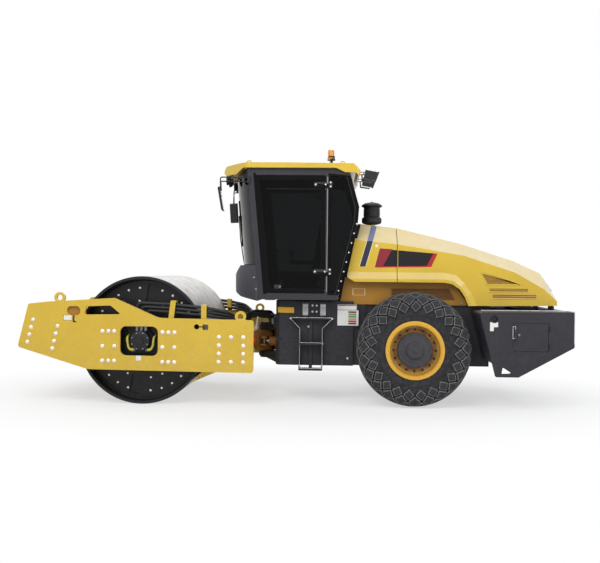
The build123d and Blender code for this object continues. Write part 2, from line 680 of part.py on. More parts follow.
# ------------------------------------------------------------------ rear frame
def make_chassis():
    """Front box with the cylinders' pins, the hinge lugs, and the two rails over the axle."""
    cx, cy = chassis_corner
    half = chassis_half_width
    front = [(chassis_box_rear_x, -half, 0), (chassis_front_x - cx, -half, 0), (chassis_front_x, -half + cy, 0),
             (chassis_front_x, half - cy, 0), (chassis_front_x - cx, half, 0), (chassis_box_rear_x, half, 0)]
    box = prism(front, "z", chassis_bottom_z, chassis_top_z)
    box -= block((chassis_front_x - tunnel_deep, chassis_front_x + 1), (-tunnel_half_width, tunnel_half_width),
                 (tunnel_bottom_z, tunnel_top_z))
    pads = barrel_eye_high / 2 + 6
    for y in (-ear_y, ear_y):
        box += rod("z", cylinder_base_x, y, cylinder_pin_radius, tunnel_bottom_z - 5, tunnel_top_z + 5)
        box += rod("z", cylinder_base_x, y, pin_pad_radius, tunnel_bottom_z - 5, hinge_z - pads)
        box += rod("z", cylinder_base_x, y, pin_pad_radius, hinge_z + pads, tunnel_top_z + 5)
    parts["chassis_box"] = box

    low, high = hinge_z - link_high / 2 - lug_gap, hinge_z + link_high / 2 + lug_gap
    under, over = low - lug_thickness, high + lug_thickness
    tip_x = pivot_x + 40
    plan = [(chassis_front_x, -lug_foot, 0), (tip_x, -lug_half_width, 100), (tip_x + 60, 0, 60),
            (tip_x, lug_half_width, 100), (chassis_front_x, lug_foot, 0)]
    lugs = rod("z", pivot_x, 0, pin_radius, under - pin_end, over + pin_end)
    lugs += prism(plan, "z", under, low) + prism(plan, "z", high, over)
    for y in (-lug_rib_y, lug_rib_y):
        lugs += prism([(chassis_front_x, under - 100, 0), (tip_x - 20, under + 1, 0), (chassis_front_x, under + 1, 0)],
                      "y", y - 20, y + 20)
        lugs += prism([(chassis_front_x, over + 120, 0), (chassis_front_x, over - 1, 0), (tip_x - 30, over - 1, 0)],
                      "y", y - 20, y + 20)
    parts["hinge_lugs"] = lugs

    inner = rail_outer_y - rail_thickness
    rail = prism([(chassis_box_rear_x, rail_neck_z, 60), (chassis_box_rear_x, rail_top_z, 0),
                  (rail_rear_x, rail_top_z, 0), (rail_rear_x, rail_foot_z, 0), (rail_leg_x, rail_foot_z, 40),
                  (rail_leg_x + 160, rail_arch_z, 120), (rail_arch_x, rail_arch_z, 120),
                  (rail_arch_x + 80, rail_neck_z, 60)], "y", inner, rail_outer_y)
    rails = both(rail)
    for x, z in rail_bars:
        rails += block((x - 50, x + 50), (-rail_outer_y + 1, rail_outer_y - 1), z)
    parts["chassis_rails"] = rails


def make_rear_box():
    """Rear counterweight box between two deeper side plates, with recessed doors and tie holes."""
    outline = [(box_rear_x, box_top_z, 20), (box_front_x, box_top_z - 14, 40), (box_foot_x, box_bottom_z, 20),
               (box_undercut_x, box_bottom_z, 20), (box_rear_x, box_undercut_z, 20)]
    inside = box_half_width - box_plate
    box = prism(outline, "y", -inside, inside)
    box -= block((box_rear_x, box_front_x), (-inside, inside), (box_bottom_z - 1, box_belly_z))
    box -= block((rail_rear_x, box_front_x + 1), (-rail_outer_y, rail_outer_y), (box_bottom_z, box_top_z + 1))
    plate = prism(outline, "y", inside, box_half_width)
    plate -= prism(rectangle(box_door_x, box_door_z, 20), "y", box_half_width - door_rebate, box_half_width + 1)
    plate -= prism(tie_hole, "y", inside - 1, box_half_width + 1)
    plate -= rod("y", *filler, inside - 20, box_half_width + 1)
    parts["rear_box"] = box + both(plate)

    (x0, x1), (z0, z1) = box_door_x, box_door_z
    door = prism(rectangle((x0 + door_gap, x1 - door_gap), (z0 + door_gap, z1 - door_gap), 16),
                 "y", box_half_width - door_rebate, box_half_width - 2)
    bar_x = x1 - handle_in - handle_wide, x1 - handle_in
    for z in (handle_z[0] + 7, handle_z[1] - 7):
        door += block(bar_x, (box_half_width - door_rebate, box_half_width + handle_out), (z - 7, z + 7))
    door += block(bar_x, (box_half_width + handle_out - 12, box_half_width + handle_out), handle_z)
    parts["box_doors"] = both(door)


def make_steps():
    """Hanging steps beside the cab, one set each side, with their grip bars and hanger plates."""
    y0 = chassis_half_width
    reach = cab_half_width - step_inset
    steps = block(top_bar_x, (y0, y0 + 70), top_bar_z) + block(grip_bar_x, (y0, y0 + 90), grip_bar_z)
    for way, grip_end in zip((-1, 1), grip_bar_x):
        foot, top = step_x + way * (step_half - 4), grip_end - way * 18
        steps += prism([(foot + 8, step_levels[0], 0), (foot - 8, step_levels[0], 0), (foot - 8, step_bend_z, 0),
                        (top - 8, grip_bar_z[0] + 4, 0), (top + 8, grip_bar_z[0] + 4, 0), (foot + 8, step_bend_z, 0)],
                       "y", y0 + 2, y0 + step_rail_deep)
    for plate_x in hanger_x:
        steps += block((plate_x - hanger_wide / 2, plate_x + hanger_wide / 2), (y0, y0 + 12),
                       (grip_bar_z[1] - 1, top_bar_z[0] + 1))
    for z in step_levels:
        steps += block((step_x - step_half, step_x + step_half), (y0 + 2, reach), (z, z + step_thick))
    steps += block((step_x - 20, step_x + 20), (y0, y0 + 30), (step_levels[0] + 1, grip_bar_z[0] + 4))
    parts["steps"] = both(steps)


# ------------------------------------------------------------------ cab
def pillar_x(z):
    """Front edge of the front pillar at a height."""
    return pillar_foot_x + (z - cab_sill_z) * cab_lean


def cab_outline():
    """Side view of the cab from its floor to the underside of the roof."""
    rear = [(x, z, 0 if z < cab_sill_z else 40) for x, z in reversed(cab_rear_edge)]
    return [(pillar_x(cab_floor_z), cab_floor_z, 20), (pillar_x(cab_roof_z), cab_roof_z, 0),
            (cab_crown_x, cab_roof_z, 0)] + rear


def door_outline(inset, radius):
    """Side view of the door opening, drawn in by an inset."""
    low, high = cab_sill_z + inset, cab_header_z - inset
    front_low, front_high = pillar_x(cab_sill_z) - pillar_wide - inset, pillar_x(cab_header_z) - pillar_wide - inset
    return [(front_low, low, radius), (front_high, high, radius), (door_rear_x + inset, high, radius),
            (door_rear_x + inset, low, radius)]


def make_cab_sides():
    """Side frames with their door and quarter openings, the doors, hinges and side glass."""
    inner = cab_half_width - cab_wall
    through = inner - 1, cab_half_width + 1
    side = prism(cab_outline(), "y", inner, cab_half_width)
    side -= prism(door_outline(0, 20), "y", *through)
    side -= prism(quarter_light, "y", *through)
    parts["cab_side_left"] = side
    parts["cab_side_right"] = mirrored(side)

    door = prism(door_outline(door_gap, 16), "y", cab_half_width - door_thick, cab_half_width)
    pane_rows = door_outline(door_gap + door_bar, 16)
    door -= prism(pane_rows, "y", cab_half_width - door_thick - 1, cab_half_width + 1)
    for z in door_hinge_z:
        door += prism(rectangle((door_rear_x - 18, door_rear_x + door_hinge_long),
                                (z - door_hinge_half, z + door_hinge_half), 20),
                      "y", cab_half_width, cab_half_width + 12)
        door += rod("z", door_rear_x - 25, cab_half_width + 15, 12, z - door_hinge_half, z + door_hinge_half)
    pane = prism(pane_rows, "y", cab_half_width - pane_inset - pane_thick, cab_half_width - pane_inset)
    parts["door_left"] = door
    parts["door_right"] = mirrored(door)
    parts["door_glass_left"] = pane
    parts["door_glass_right"] = mirrored(pane)
    parts["quarter_glass"] = both(prism(quarter_light, "y", cab_half_width - pane_inset - pane_thick,
                                        cab_half_width - pane_inset))


def bowed(low, high, inset, thick):
    """Wall bowed forward in plan between the cab's sides, leaning with the pillars."""
    half = cab_half_width - cab_wall
    outer_x = pillar_x(low) - inset
    arcs = [ThreePointArc((x, -half, low), (x + screen_bow, 0, low), (x, half, low))
            for x in (outer_x, outer_x - thick)]
    ends = [Line(arcs[0] @ 1, arcs[1] @ 1), Line(arcs[1] @ 0, arcs[0] @ 0)]
    face = Face(Wire([arcs[0], ends[0], arcs[1], ends[1]]))
    return extrude(face, (high - low) * hypot(1, cab_lean), dir=(cab_lean, 0, 1))


def make_cab_shell():
    """Floor on its mounts, rear wall and window, windscreen and the beams over both."""
    inner = cab_half_width - cab_wall
    floor = block((cab_floor_rear_x, pillar_x(cab_floor_z) - 2), (-inner, inner),
                  (cab_floor_z, cab_floor_z + cab_floor_thick))
    for x in cab_mount_x:
        for y in (-cab_mount_y, cab_mount_y):
            floor += rod("z", x, y, cab_mount_radius, chassis_top_z, cab_floor_z + 1)
    parts["cab_floor"] = floor

    (foot_x, foot_z), (sill_x, sill_z), (waist_x, waist_z), (bulge_x, bulge_z), (top_x, top_z) = cab_rear_edge
    parts["cab_rear_wall"] = prism([(foot_x, foot_z, 0), (sill_x, sill_z, 0), (waist_x, waist_z, 0),
                                    (waist_x + 50, waist_z, 0), (sill_x + 50, sill_z, 0), (foot_x + 45, foot_z, 0)],
                                   "y", -inner, inner)
    parts["cab_rear_header"] = prism([(top_x, top_z, 0), (cab_crown_x, cab_roof_z, 0), (cab_crown_x + 80, cab_roof_z, 0),
                                      (top_x + 50, top_z, 0)], "y", -inner, inner)
    out, back = 20, 20 + glass_thick
    parts["rear_glass"] = prism([(waist_x + out, waist_z, 0), (bulge_x + out, bulge_z, 40), (top_x + out, top_z, 0),
                                 (top_x + back, top_z, 0), (bulge_x + back, bulge_z, 40), (waist_x + back, waist_z, 0)],
                                "y", -inner, inner)
    parts["windscreen"] = bowed(screen_foot_z, cab_header_z, 10, glass_thick)
    parts["cab_front_header"] = bowed(cab_header_z, cab_roof_z, 0, 50)


def make_front_cover():
    """Hollow cover under the windscreen, bowed in plan and chamfered along its top."""
    half = cab_half_width
    profile = prism([(-60, 1290, 0), (230, 1345, 30), (330, cab_sill_z, 30), (cover_reach - 4, 1620, 30),
                     (240, screen_foot_z, 10), (-60, screen_foot_z, 0)], "y", -half, half)
    shells = []
    for x, bow_half in ((0, half), (-cover_wall, half - cover_side_wall)):
        arc = ThreePointArc((x, -bow_half, 1250), (x + cover_reach, 0, 1250), (x, bow_half, 1250))
        lines = [Line(arc @ 1, (x - 20, bow_half, 1250)), Line((x - 20, bow_half, 1250), (x - 20, -bow_half, 1250)),
                 Line((x - 20, -bow_half, 1250), arc @ 0)]
        shells.append(extrude(Face(Wire([arc] + lines)), screen_foot_z + 10 - 1250, dir=(0, 0, 1)))
    hollow = [(-70, cab_sill_z - 10, 0), (285, cab_sill_z - 10, 0), (cover_reach - 44, 1420, 0),
              (cover_reach - 44, 1600, 0), (200, screen_foot_z - 20, 0), (200, screen_foot_z + 10, 0),
              (-70, screen_foot_z + 10, 0)]
    inside = shells[1] & prism(hollow, "y", -half, half)
    pillars = both(prism([(-200, 1250, 0), (pillar_x(1250), 1250, 0), (pillar_x(1800), 1800, 0), (-200, 1800, 0)],
                         "y", half - cab_wall, half))
    floor_front = block((-200, pillar_x(cab_floor_z) - 2), (-half, half), (1250, 1800))
    parts["cab_front_cover"] = (profile & shells[0]) - inside - pillars - floor_front


def make_roof():
    """Roof slab with its visor, rounded corners in plan, cut to sit on the cab."""
    half = roof_half_width
    roof = prism(roof_outline, "y", -half, half)
    front, rear, bend = roof_outline[0][0], roof_rear_x, roof_bend_x
    plan = prism([(front, -roof_nose_half, 120), (bend, -half, 120), (rear, -half, 60), (rear, half, 60),
                  (bend, half, 120), (front, roof_nose_half, 120)], "z", cab_header_z - 100, roof_top_z + 100)
    body = prism(cab_outline(), "y", -cab_half_width, cab_half_width)
    inner = cab_half_width - cab_wall
    x = pillar_x(cab_sill_z)
    arc = ThreePointArc((x, -inner, cab_sill_z), (x + screen_bow, 0, cab_sill_z), (x, inner, cab_sill_z))
    bulge = extrude(Face(Wire([arc, Line(arc @ 1, arc @ 0)])), (cab_roof_z - cab_sill_z) * hypot(1, cab_lean),
                    dir=(cab_lean, 0, 1))
    parts["cab_roof"] = (roof & plan) - body - bulge


def make_cab_furniture():
    """Driver's seat, steering column, mirrors, lamps and the beacon."""
    floor_top = cab_floor_z + cab_floor_thick
    seat = block((-760, -300), (-240, 240), (floor_top, seat_z))
    seat += prism([(-820, seat_z, 30), (-240, seat_z, 40), (-240, seat_z + 130, 50), (-820, seat_z + 110, 30)],
                  "y", -seat_half, seat_half)
    seat += prism([(-800, seat_z + 80, 30), (-680, seat_z + 80, 30), (-800, seat_back_z, 50), (-900, seat_back_z, 50)],
                  "y", -seat_half + 10, seat_half - 10)
    parts["driver_seat"] = seat

    column = prism([(60, cab_sill_z - 10, 0), (150, cab_sill_z - 10, 0), (20, 2000, 30), (-70, 1980, 30)],
                   "y", -110, 110)
    wheel = Torus(wheel_radius, 16) + Cylinder(50, 40) + Box(2 * wheel_radius - 10, 30, 14)
    wheel += Pos(0, 0, -50) * Cylinder(28, 90)
    parts["steering_column"] = column + Pos(*wheel_place) * Rot(0, -35, 0) * wheel

    glass = prism(mirror_outline, "y", *mirror_y)
    arm = tube([(120, cab_half_width - 10, 2860), (300, 900, 2850), (425, 1110, 2800), (415, 1130, 2660)], [60, 60], 9)
    parts["mirrors"] = both(glass) + both(arm)

    (x0, x1), (y0, y1), (z0, z1) = rear_lamp
    middle = (y0 + y1) / 2
    lamp = block((x0, x1), (y0, y1), (z0, z1))
    lamp += block((x1 - 10, rear_lamp_foot[1]), (middle - 30, middle + 30), (z1 - 92, z1 - 77))
    lamp += block(rear_lamp_foot, (middle - 30, middle + 30), (z1 - 92, roof_rear_z))
    for y in front_lamp_y:
        lamp += block(front_lamp_x, (y - front_lamp_half, y + front_lamp_half), front_lamp_z)
    parts["work_lights"] = both(lamp)

    x, y = beacon_place
    beacon = rod("z", x, y, 16, roof_top_z - 5, beacon_foot_z)
    beacon += rod("z", x, y, 48, beacon_foot_z - 2, beacon_foot_z + 30)
    beacon += rod("z", x, y, 40, beacon_foot_z + 30, beacon_top_z)
    parts["beacon"] = beacon


# ------------------------------------------------------------------ engine cover
def cover_section(x, half, top, shoulder, bottom):
    """Cross-section of the engine cover at a station: flat top, sloped shoulders, upright sides."""
    inner = half - hood_shoulder_in
    rows = [(half, bottom), (half, shoulder), (inner, top), (-inner, top), (-half, shoulder), (-half, bottom)]
    return Face(Wire(Polyline(*[(x, y, z) for y, z in rows], close=True)))


def cover_body(stations, wall=0, front=0, rear=0):
    """Body through stations of (x, half width, top, shoulder), drawn in by a wall and moved at its ends."""
    shifts = [front] + [0] * (len(stations) - 2) + [rear]
    sections = [cover_section(x + shift, half - wall, top - wall, shoulder - 0.6 * wall, cover_cut_z - wall)
                for shift, (x, half, top, shoulder) in zip(shifts, stations)]
    return loft(sections, ruled=True)


def ledge():
    """Flared band along the lower edge, over the wheel: an upright lip with a bevel above it."""
    faces = []
    for y, share in ((hood_side_y, 1), (hood_half_width, ledge_lip / ledge_high)):
        upper = [(x0 + share * (x1 - x0), z0 + share * (z1 - z0)) for x0, z0, x1, z1 in ledge_path]
        rows = [(x, z) for x, z, _, _ in ledge_path] + upper[::-1]
        faces.append(Face(Wire(Polyline(*[(x, y, z) for x, z in rows], close=True))))
    return both(loft(faces, ruled=True) + extrude(faces[0], hood_wall - 4, dir=(0, -1, 0)))


def make_engine_cover():
    """Fixed cowl behind the cab and the tilting hood, which share the band along their lower edge."""
    half = hood_side_y
    band = ledge()
    lower = [(x, z, 0) for x, z, _, _ in ledge_path]
    skirt = prism(lower + [(hood_rear_x - 10, ledge_path[-1][1] + 12, 0), (hood_rear_x - 10, 2500, 0),
                           (lower[0][0], 2500, 0)], "y", -900, 900)

    ends = [(cowl_front_x + 230, half, cowl_top_z + 30, 2110), (hood_split_x + hood_gap, *hood_line[0][1:])]
    front_cut = prism([(cowl_front_x - 4, 2420, 0), (cowl_nose_x, 1612, 40), (cowl_foot_x, flare_bottom_z, 0),
                       (hood_split_x + hood_gap, flare_bottom_z, 0), (hood_split_x + hood_gap, 2420, 0)],
                      "y", -900, 900)
    core = cover_body(ends, hood_wall, 60, -5)
    core -= block((cowl_front_x - hood_wall, cowl_front_x + 400), (-half, half), (cowl_open_z, 2500))
    cowl = ((cover_body(ends) + band) & front_cut) - core
    cowl -= rod("z", *cleaner_place, cleaner_neck_radius, cleaner_cap_z - 118, cleaner_cap_z + 82)
    parts["cowl"] = cowl

    behind = block((hood_rear_x - 20, hood_split_x), (-900, 900), (cover_cut_z, 2500))
    shell = cover_body(hood_line) - cover_body(hood_line, hood_wall, hood_wall, hood_end_wall)
    hood = ((shell & skirt) + band) & behind
    for outline in [vent_triangle] + [rectangle(x, z, 10) for x, z in louvres]:
        hood -= both(prism(outline, "y", half - vent_deep, half + 5))
    (x0, _, z0, _), (x1, _, z1, _) = hood_line[-2:]
    grille = Rot(0, -degrees(atan2(z0 - z1, x0 - x1)), 0) * Box(grille_long, 2 * grille_half, 2 * vent_deep)
    hood -= Pos((x0 + x1) / 2, 0, (z0 + z1) / 2) * grille

    # hinge knuckles on the hood and pins on the rear box
    px, pz = hood_pivot
    pins = []
    for y in (-knuckle_y, knuckle_y):
        y0, y1 = y - knuckle_long / 2, y + knuckle_long / 2
        hood += rod("y", px, pz, knuckle_radius, y0, y1)
        hood += block((px - 12, px + 12), (y0, y1), (pz, hood_bottom_z + 40))
        hood -= rod("y", px, pz, hinge_pin_radius + shaft_fit, y0 - 1, y1 + 1)
        pins.append(rod("y", px, pz, hinge_pin_radius, y0 - 30, y1 + 30))
        for edge in (y0 - 22, y1 + 6):
            pins.append(rod("y", px, pz, knuckle_radius, edge, edge + 16))
            pins.append(block((px - knuckle_radius, px + knuckle_radius), (edge, edge + 16), (box_top_z, pz)))
    parts["hood"] = hood
    parts["hood_hinges"] = joined(pins)


def make_engine_bay():
    """Side panels of the engine bay, engine, radiator and the air pre-cleaner."""
    inner = bay_half_width - bay_wall
    bay = prism(bay_outline + [(rail_bay_x, rail_top_z, 0), (chassis_box_rear_x, rail_top_z, 0),
                               (chassis_box_rear_x, chassis_top_z, 0)], "y", inner, bay_half_width)
    bay -= prism(bay_grille, "y", bay_half_width - vent_deep, bay_half_width + 1)
    bay += block(cowl_rest_x, (bay_half_width - 1, hood_side_y - hood_wall), cowl_rest_z)
    parts["bay_panels"] = both(bay)
    parts["engine_block"] = block((-2950, -2050), (-330, 330), (rail_bars[1][1][1], 1760))
    parts["radiator"] = block((-3560, -3400), (-420, 420), (box_top_z, 1620))

    x, y = cleaner_place
    cap, waist, crown, top = cleaner_cap_z, cleaner_cap_z + 94, cleaner_cap_z + 222, cleaner_cap_z + 282
    cleaner = rod("z", x, y, cleaner_neck_radius, cap - 88, cap) + rod("z", x, y, cleaner_cap_radius, cap, waist)
    cleaner += rod("z", x, y, cleaner_radius, waist, crown) + rod("z", x, y, cleaner_cap_radius, crown, top)
    parts["pre_cleaner"] = cleaner


# ------------------------------------------------------------------ hoses
def make_hoses():
    """Hose bundles from the drum's motors to the bulkheads at the articulation, with their guides."""
    beam_top = rear_beam_z + rear_beam_high / 2 - beam_inset
    runs = []
    for step, port in zip(hose_levels, port_x):
        port += drum_axle_x
        end_z = beam_top + bulkhead_foot + step
        runs.append(tube([(port, port_y, port_z), (port, port_y, 1175 + step), (1010, hose_y, 1158 + step),
                          (605, hose_y, 1120 + step), (360, 1060, 1092 + 0.8 * step), (230, 860, 1040 + 0.5 * step),
                          (rear_beam_x, 640, end_z), (rear_beam_x, bulkhead_y, end_z)],
                         [70, 200, 200, 170, 120, 120], hose_radius))
    parts["drum_hoses"] = both(joined(runs))

    guides = []
    for foot_x, top_x, top in guide_stations:
        foot = plate_edge_z(foot_x) - 60
        half = guide_wide / 2
        guides.append(prism([(foot_x - half, foot, 0), (foot_x + half, foot, 0), (top_x + half, top, 0),
                             (top_x - half, top, 0)], "y", guide_y, guide_y + 15))
        guides.append(block((top_x - half, top_x + half), (guide_lip_y, guide_y + 15), (top - 12, top)))
        guides.append(block((top_x - half, top_x + half), (guide_lip_y, guide_lip_y + 12), (top - 130, top)))
        guides.append(block((foot_x - half, foot_x + half), (guide_y + 1, side_inner_y), (foot, foot + 40)))
    guides.append(block((rear_beam_x - 50, rear_beam_x + 50), (bulkhead_y - 12, bulkhead_y),
                        (beam_top, beam_top + bulkhead_foot + hose_levels[-1] + 40)))
    parts["hose_guides"] = both(joined(guides))


make_drum()
make_front_frame()
make_drum_mounts()
make_scrapers()
make_link()
make_cylinders()
make_wheels()
make_axle()
make_chassis()
make_rear_box()
make_steps()
make_cab_sides()
make_cab_shell()
make_front_cover()
make_roof()
make_cab_furniture()
make_engine_cover()
make_engine_bay()
make_hoses()

os.makedirs("parts", exist_ok=True)
for name, shape in parts.items():
    export_step(Pos(-mid_x, 0, 0) * shape, f"parts/{name}.step")
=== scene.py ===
"""Road roller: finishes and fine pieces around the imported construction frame.

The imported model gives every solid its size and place.  Each class below dresses one
sub-assembly: it takes its places from the frame, builds the pieces that the solids leave
out, and gives every surface its finish.
"""
import bisect
import itertools
import logging
import math
from dataclasses import dataclass
from enum import Enum
from functools import cached_property
from typing import Callable, Iterable, Optional, Sequence

import bmesh
import bpy
from mathutils import Euler, Matrix, Vector


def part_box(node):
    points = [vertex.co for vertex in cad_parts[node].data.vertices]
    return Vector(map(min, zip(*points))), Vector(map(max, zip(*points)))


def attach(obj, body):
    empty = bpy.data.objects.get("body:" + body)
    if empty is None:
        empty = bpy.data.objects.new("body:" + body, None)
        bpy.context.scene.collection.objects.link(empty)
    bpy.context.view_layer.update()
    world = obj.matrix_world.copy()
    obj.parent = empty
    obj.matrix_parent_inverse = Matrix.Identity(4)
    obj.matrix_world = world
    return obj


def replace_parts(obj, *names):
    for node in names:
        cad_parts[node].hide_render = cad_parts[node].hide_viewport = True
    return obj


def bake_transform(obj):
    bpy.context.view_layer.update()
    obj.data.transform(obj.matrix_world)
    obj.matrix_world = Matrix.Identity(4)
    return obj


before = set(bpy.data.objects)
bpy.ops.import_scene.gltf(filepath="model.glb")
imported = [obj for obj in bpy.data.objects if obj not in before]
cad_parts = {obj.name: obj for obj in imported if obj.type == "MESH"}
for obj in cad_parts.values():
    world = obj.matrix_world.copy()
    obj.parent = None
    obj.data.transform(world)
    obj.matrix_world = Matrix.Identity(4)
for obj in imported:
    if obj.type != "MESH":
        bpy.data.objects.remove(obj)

log = logging.getLogger("road_roller")

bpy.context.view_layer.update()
Point = tuple[float, float, float]
Pair = tuple[float, float]
Colour = tuple[float, float, float, float]

# the construction is dimensioned from the articulation; its foremost plate ends 2924 mm ahead of that
DATUM_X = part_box("side_plate_left")[1].x - 2.924


def axle(node: str) -> Pair:
    """Middle of a round construction node in side view, in metres."""
    low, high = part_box(node)
    return (low.x + high.x) / 2, (low.z + high.z) / 2


DRUM_AXLE = axle("drum_shell")
WHEEL_AXLE = axle("tyre_left")
# the drum's axle again, in millimetres from the datum and above the ground
DRUM_X, DRUM_Z = 1400, 800


class Side(Enum):
    """The machine's two sides, as the sign of Y."""

    LEFT = 1
    RIGHT = -1

    @property
    def word(self) -> str:
        """The side's name in node and piece names."""
        return self.name.lower()


# ---------------------------------------------------------------------------- finishes
def srgb(code: str) -> Colour:
    """Turns an sRGB hex colour into linear RGBA.

    Args:
        code: six hex digits with a leading #.

    Returns:
        Linear red, green, blue and an alpha of 1.
    """
    channels = [int(code[i:i + 2], 16) / 255 for i in (1, 3, 5)]
    linear = [c / 12.92 if c <= 0.04045 else ((c + 0.055) / 1.055) ** 2.4 for c in channels]
    return (linear[0], linear[1], linear[2], 1.0)


def add_node(tree: bpy.types.NodeTree, kind: str, settings: Optional[dict] = None,
             inputs: Optional[dict] = None) -> bpy.types.Node:
    """Adds one node with its settings, socket values and links.

    Args:
        tree: the node tree that gets the node.
        kind: the node's type name.
        settings: attributes of the node itself.
        inputs: socket name or number to a value, or to an output socket to link from.

    Returns:
        The new node.
    """
    made = tree.nodes.new(kind)
    for key, value in (settings or {}).items():
        setattr(made, key, value)
    for key, value in (inputs or {}).items():
        socket = made.inputs[key]
        if isinstance(value, bpy.types.NodeSocket):
            tree.links.new(value, socket)
        else:
            socket.default_value = value
    return made


class FinishTree:
    """A material under construction: its tree, its shader and the Object coordinates."""

    def __init__(self, name: str) -> None:
        """Starts an empty material of that name."""
        self.material = bpy.data.materials.new(name)
        self.material.use_nodes = True
        self.tree = self.material.node_tree
        self.tree.nodes.clear()
        self.shader = add_node(self.tree, "ShaderNodeBsdfPrincipled")
        self.output = add_node(self.tree, "ShaderNodeOutputMaterial",
                               inputs={"Surface": self.shader.outputs["BSDF"]})
        self.place = add_node(self.tree, "ShaderNodeTexCoord").outputs["Object"]

    def add(self, kind: str, settings: Optional[dict] = None,
            inputs: Optional[dict] = None) -> bpy.types.Node:
        """Adds a node to this material; arguments as add_node takes them."""
        return add_node(self.tree, kind, settings, inputs)

    def stretched(self, scale: Point) -> bpy.types.NodeSocket:
        """Object coordinates scaled along each axis."""
        mapping = self.add("ShaderNodeMapping", inputs={"Vector": self.place, "Scale": scale})
        return mapping.outputs["Vector"]

    def noise(self, size_mm: float, detail: float = 3.0, stretch: Point = (1, 1, 1),
              rough: float = 0.5) -> bpy.types.NodeSocket:
        """Noise whose features are about size_mm across.

        Args:
            size_mm: feature size in millimetres.
            detail: octaves.
            stretch: extra scale along each axis.
            rough: how strong the finer octaves are.

        Returns:
            The noise factor.
        """
        where = self.stretched(stretch) if stretch != (1, 1, 1) else self.place
        made = self.add("ShaderNodeTexNoise", inputs={
            "Vector": where, "Scale": 1000 / size_mm, "Detail": detail, "Roughness": rough})
        return made.outputs["Fac"]

    def between(self, factor: bpy.types.NodeSocket, low: Pair, high: Pair) -> bpy.types.NodeSocket:
        """Maps a factor from the range low to the range high, clamped."""
        made = self.add("ShaderNodeMapRange", inputs={
            "Value": factor, "From Min": low[0], "From Max": low[1], "To Min": high[0], "To Max": high[1]})
        return made.outputs["Result"]

    def times(self, a: bpy.types.NodeSocket, b: bpy.types.NodeSocket | float) -> bpy.types.NodeSocket:
        """The product of two factors."""
        return self.add("ShaderNodeMath", {"operation": "MULTIPLY"}, {0: a, 1: b}).outputs["Value"]

    def mixed(self, factor: bpy.types.NodeSocket, first: bpy.types.NodeSocket | Colour,
              second: bpy.types.NodeSocket | Colour) -> bpy.types.NodeSocket:
        """A colour between two colours or colour sockets."""
        made = self.add("ShaderNodeMix", {"data_type": "RGBA"}, {"Factor": factor, 6: first, 7: second})
        return made.outputs[2]

    def from_axle(self, centre: Pair) -> bpy.types.NodeSocket:
        """The distance from an axle across the machine, in metres.

        Args:
            centre: the axle in side view.

        Returns:
            The distance socket.
        """
        moved = self.add("ShaderNodeMapping", inputs={
            "Vector": self.place, "Location": (-centre[0], 0, -centre[1]), "Scale": (1, 0, 1)})
        away = self.add("ShaderNodeVectorMath", {"operation": "LENGTH"}, {"Vector": moved.outputs["Vector"]})
        return away.outputs["Value"]

    def height(self) -> bpy.types.NodeSocket:
        """Object Z, in metres above the ground."""
        return self.add("ShaderNodeSeparateXYZ", inputs={"Vector": self.place}).outputs["Z"]

    def upward(self) -> bpy.types.NodeSocket:
        """How far a face looks up, on the piece at rest: 1 for a level top, 0 for an upright side."""
        normal = self.add("ShaderNodeTexCoord").outputs["Normal"]
        return self.add("ShaderNodeSeparateXYZ", inputs={"Vector": normal}).outputs["Z"]

    def bumped(self, factor: bpy.types.NodeSocket, depth_mm: float,
               strength: float = 1.0) -> bpy.types.NodeSocket:
        """A normal raised by a factor.

        Args:
            factor: the height field, 0 to 1.
            depth_mm: how far 0 lies below 1.
            strength: how much of it shows.

        Returns:
            The normal socket.
        """
        made = self.add("ShaderNodeBump", inputs={
            "Height": factor, "Distance": depth_mm / 1000, "Strength": strength})
        return made.outputs["Normal"]

    def set(self, **values: bpy.types.NodeSocket | Colour | float) -> None:
        """Sets the shader.

        Args:
            values: socket names, with underscores for spaces, to a value or to an output socket.
        """
        for key, value in values.items():
            socket = self.shader.inputs[key.replace("_", " ")]
            if isinstance(value, bpy.types.NodeSocket):
                self.tree.links.new(value, socket)
            else:
                socket.default_value = value


@dataclass(frozen=True)
class PaintFinish:
    """Sprayed machine enamel: faint orange peel, a clear gloss, road dust low down, and a pale sky reflection
    painted on faces that look up.
    """

    name: str
    colour: str
    shade: str                      # the same paint where it has chalked or lies in grime
    roughness: float = 0.32
    coat: float = 0.15
    dust: str = "#8f8676"
    dust_amount: float = 0.35
    peel_mm: float = 3.0
    film: str = "#efe3c0"           # painted sky reflection, pale, on faces that look up
    film_amount: float = 0.0
    specular: float = 0.3

    def build(self) -> bpy.types.Material:
        """Makes the material."""
        f = FinishTree(self.name)
        patch = f.between(f.noise(420, 4), (0.35, 0.72), (0.0, 0.55))
        paint = f.mixed(patch, srgb(self.colour), srgb(self.shade))
        # faces that look up get the pale colour in patches, as a painted sky reflection
        if self.film_amount:
            sheen_patches = f.between(f.noise(150, 5, rough=0.6), (0.3, 0.7), (0.75, 1.0))
            share = f.times(f.between(f.upward(), (0.25, 0.9), (0.0, self.film_amount)), sheen_patches)
            paint = f.mixed(share, paint, srgb(self.film))
        low = f.between(f.height(), (0.25, 1.5), (1.0, 0.0))
        speck = f.between(f.noise(60, 6, rough=0.65), (0.45, 0.75), (0.0, 1.0))
        grime = f.times(f.times(low, speck), self.dust_amount)
        f.set(Base_Color=f.mixed(grime, paint, srgb(self.dust)),
              Roughness=f.between(grime, (0.0, 0.5), (self.roughness, self.roughness + 0.3)),
              Specular_IOR_Level=self.specular, Coat_Weight=self.coat, Coat_Roughness=0.12,
              Normal=f.bumped(f.noise(self.peel_mm * 4, 2), 0.05, 0.25))
        return f.material


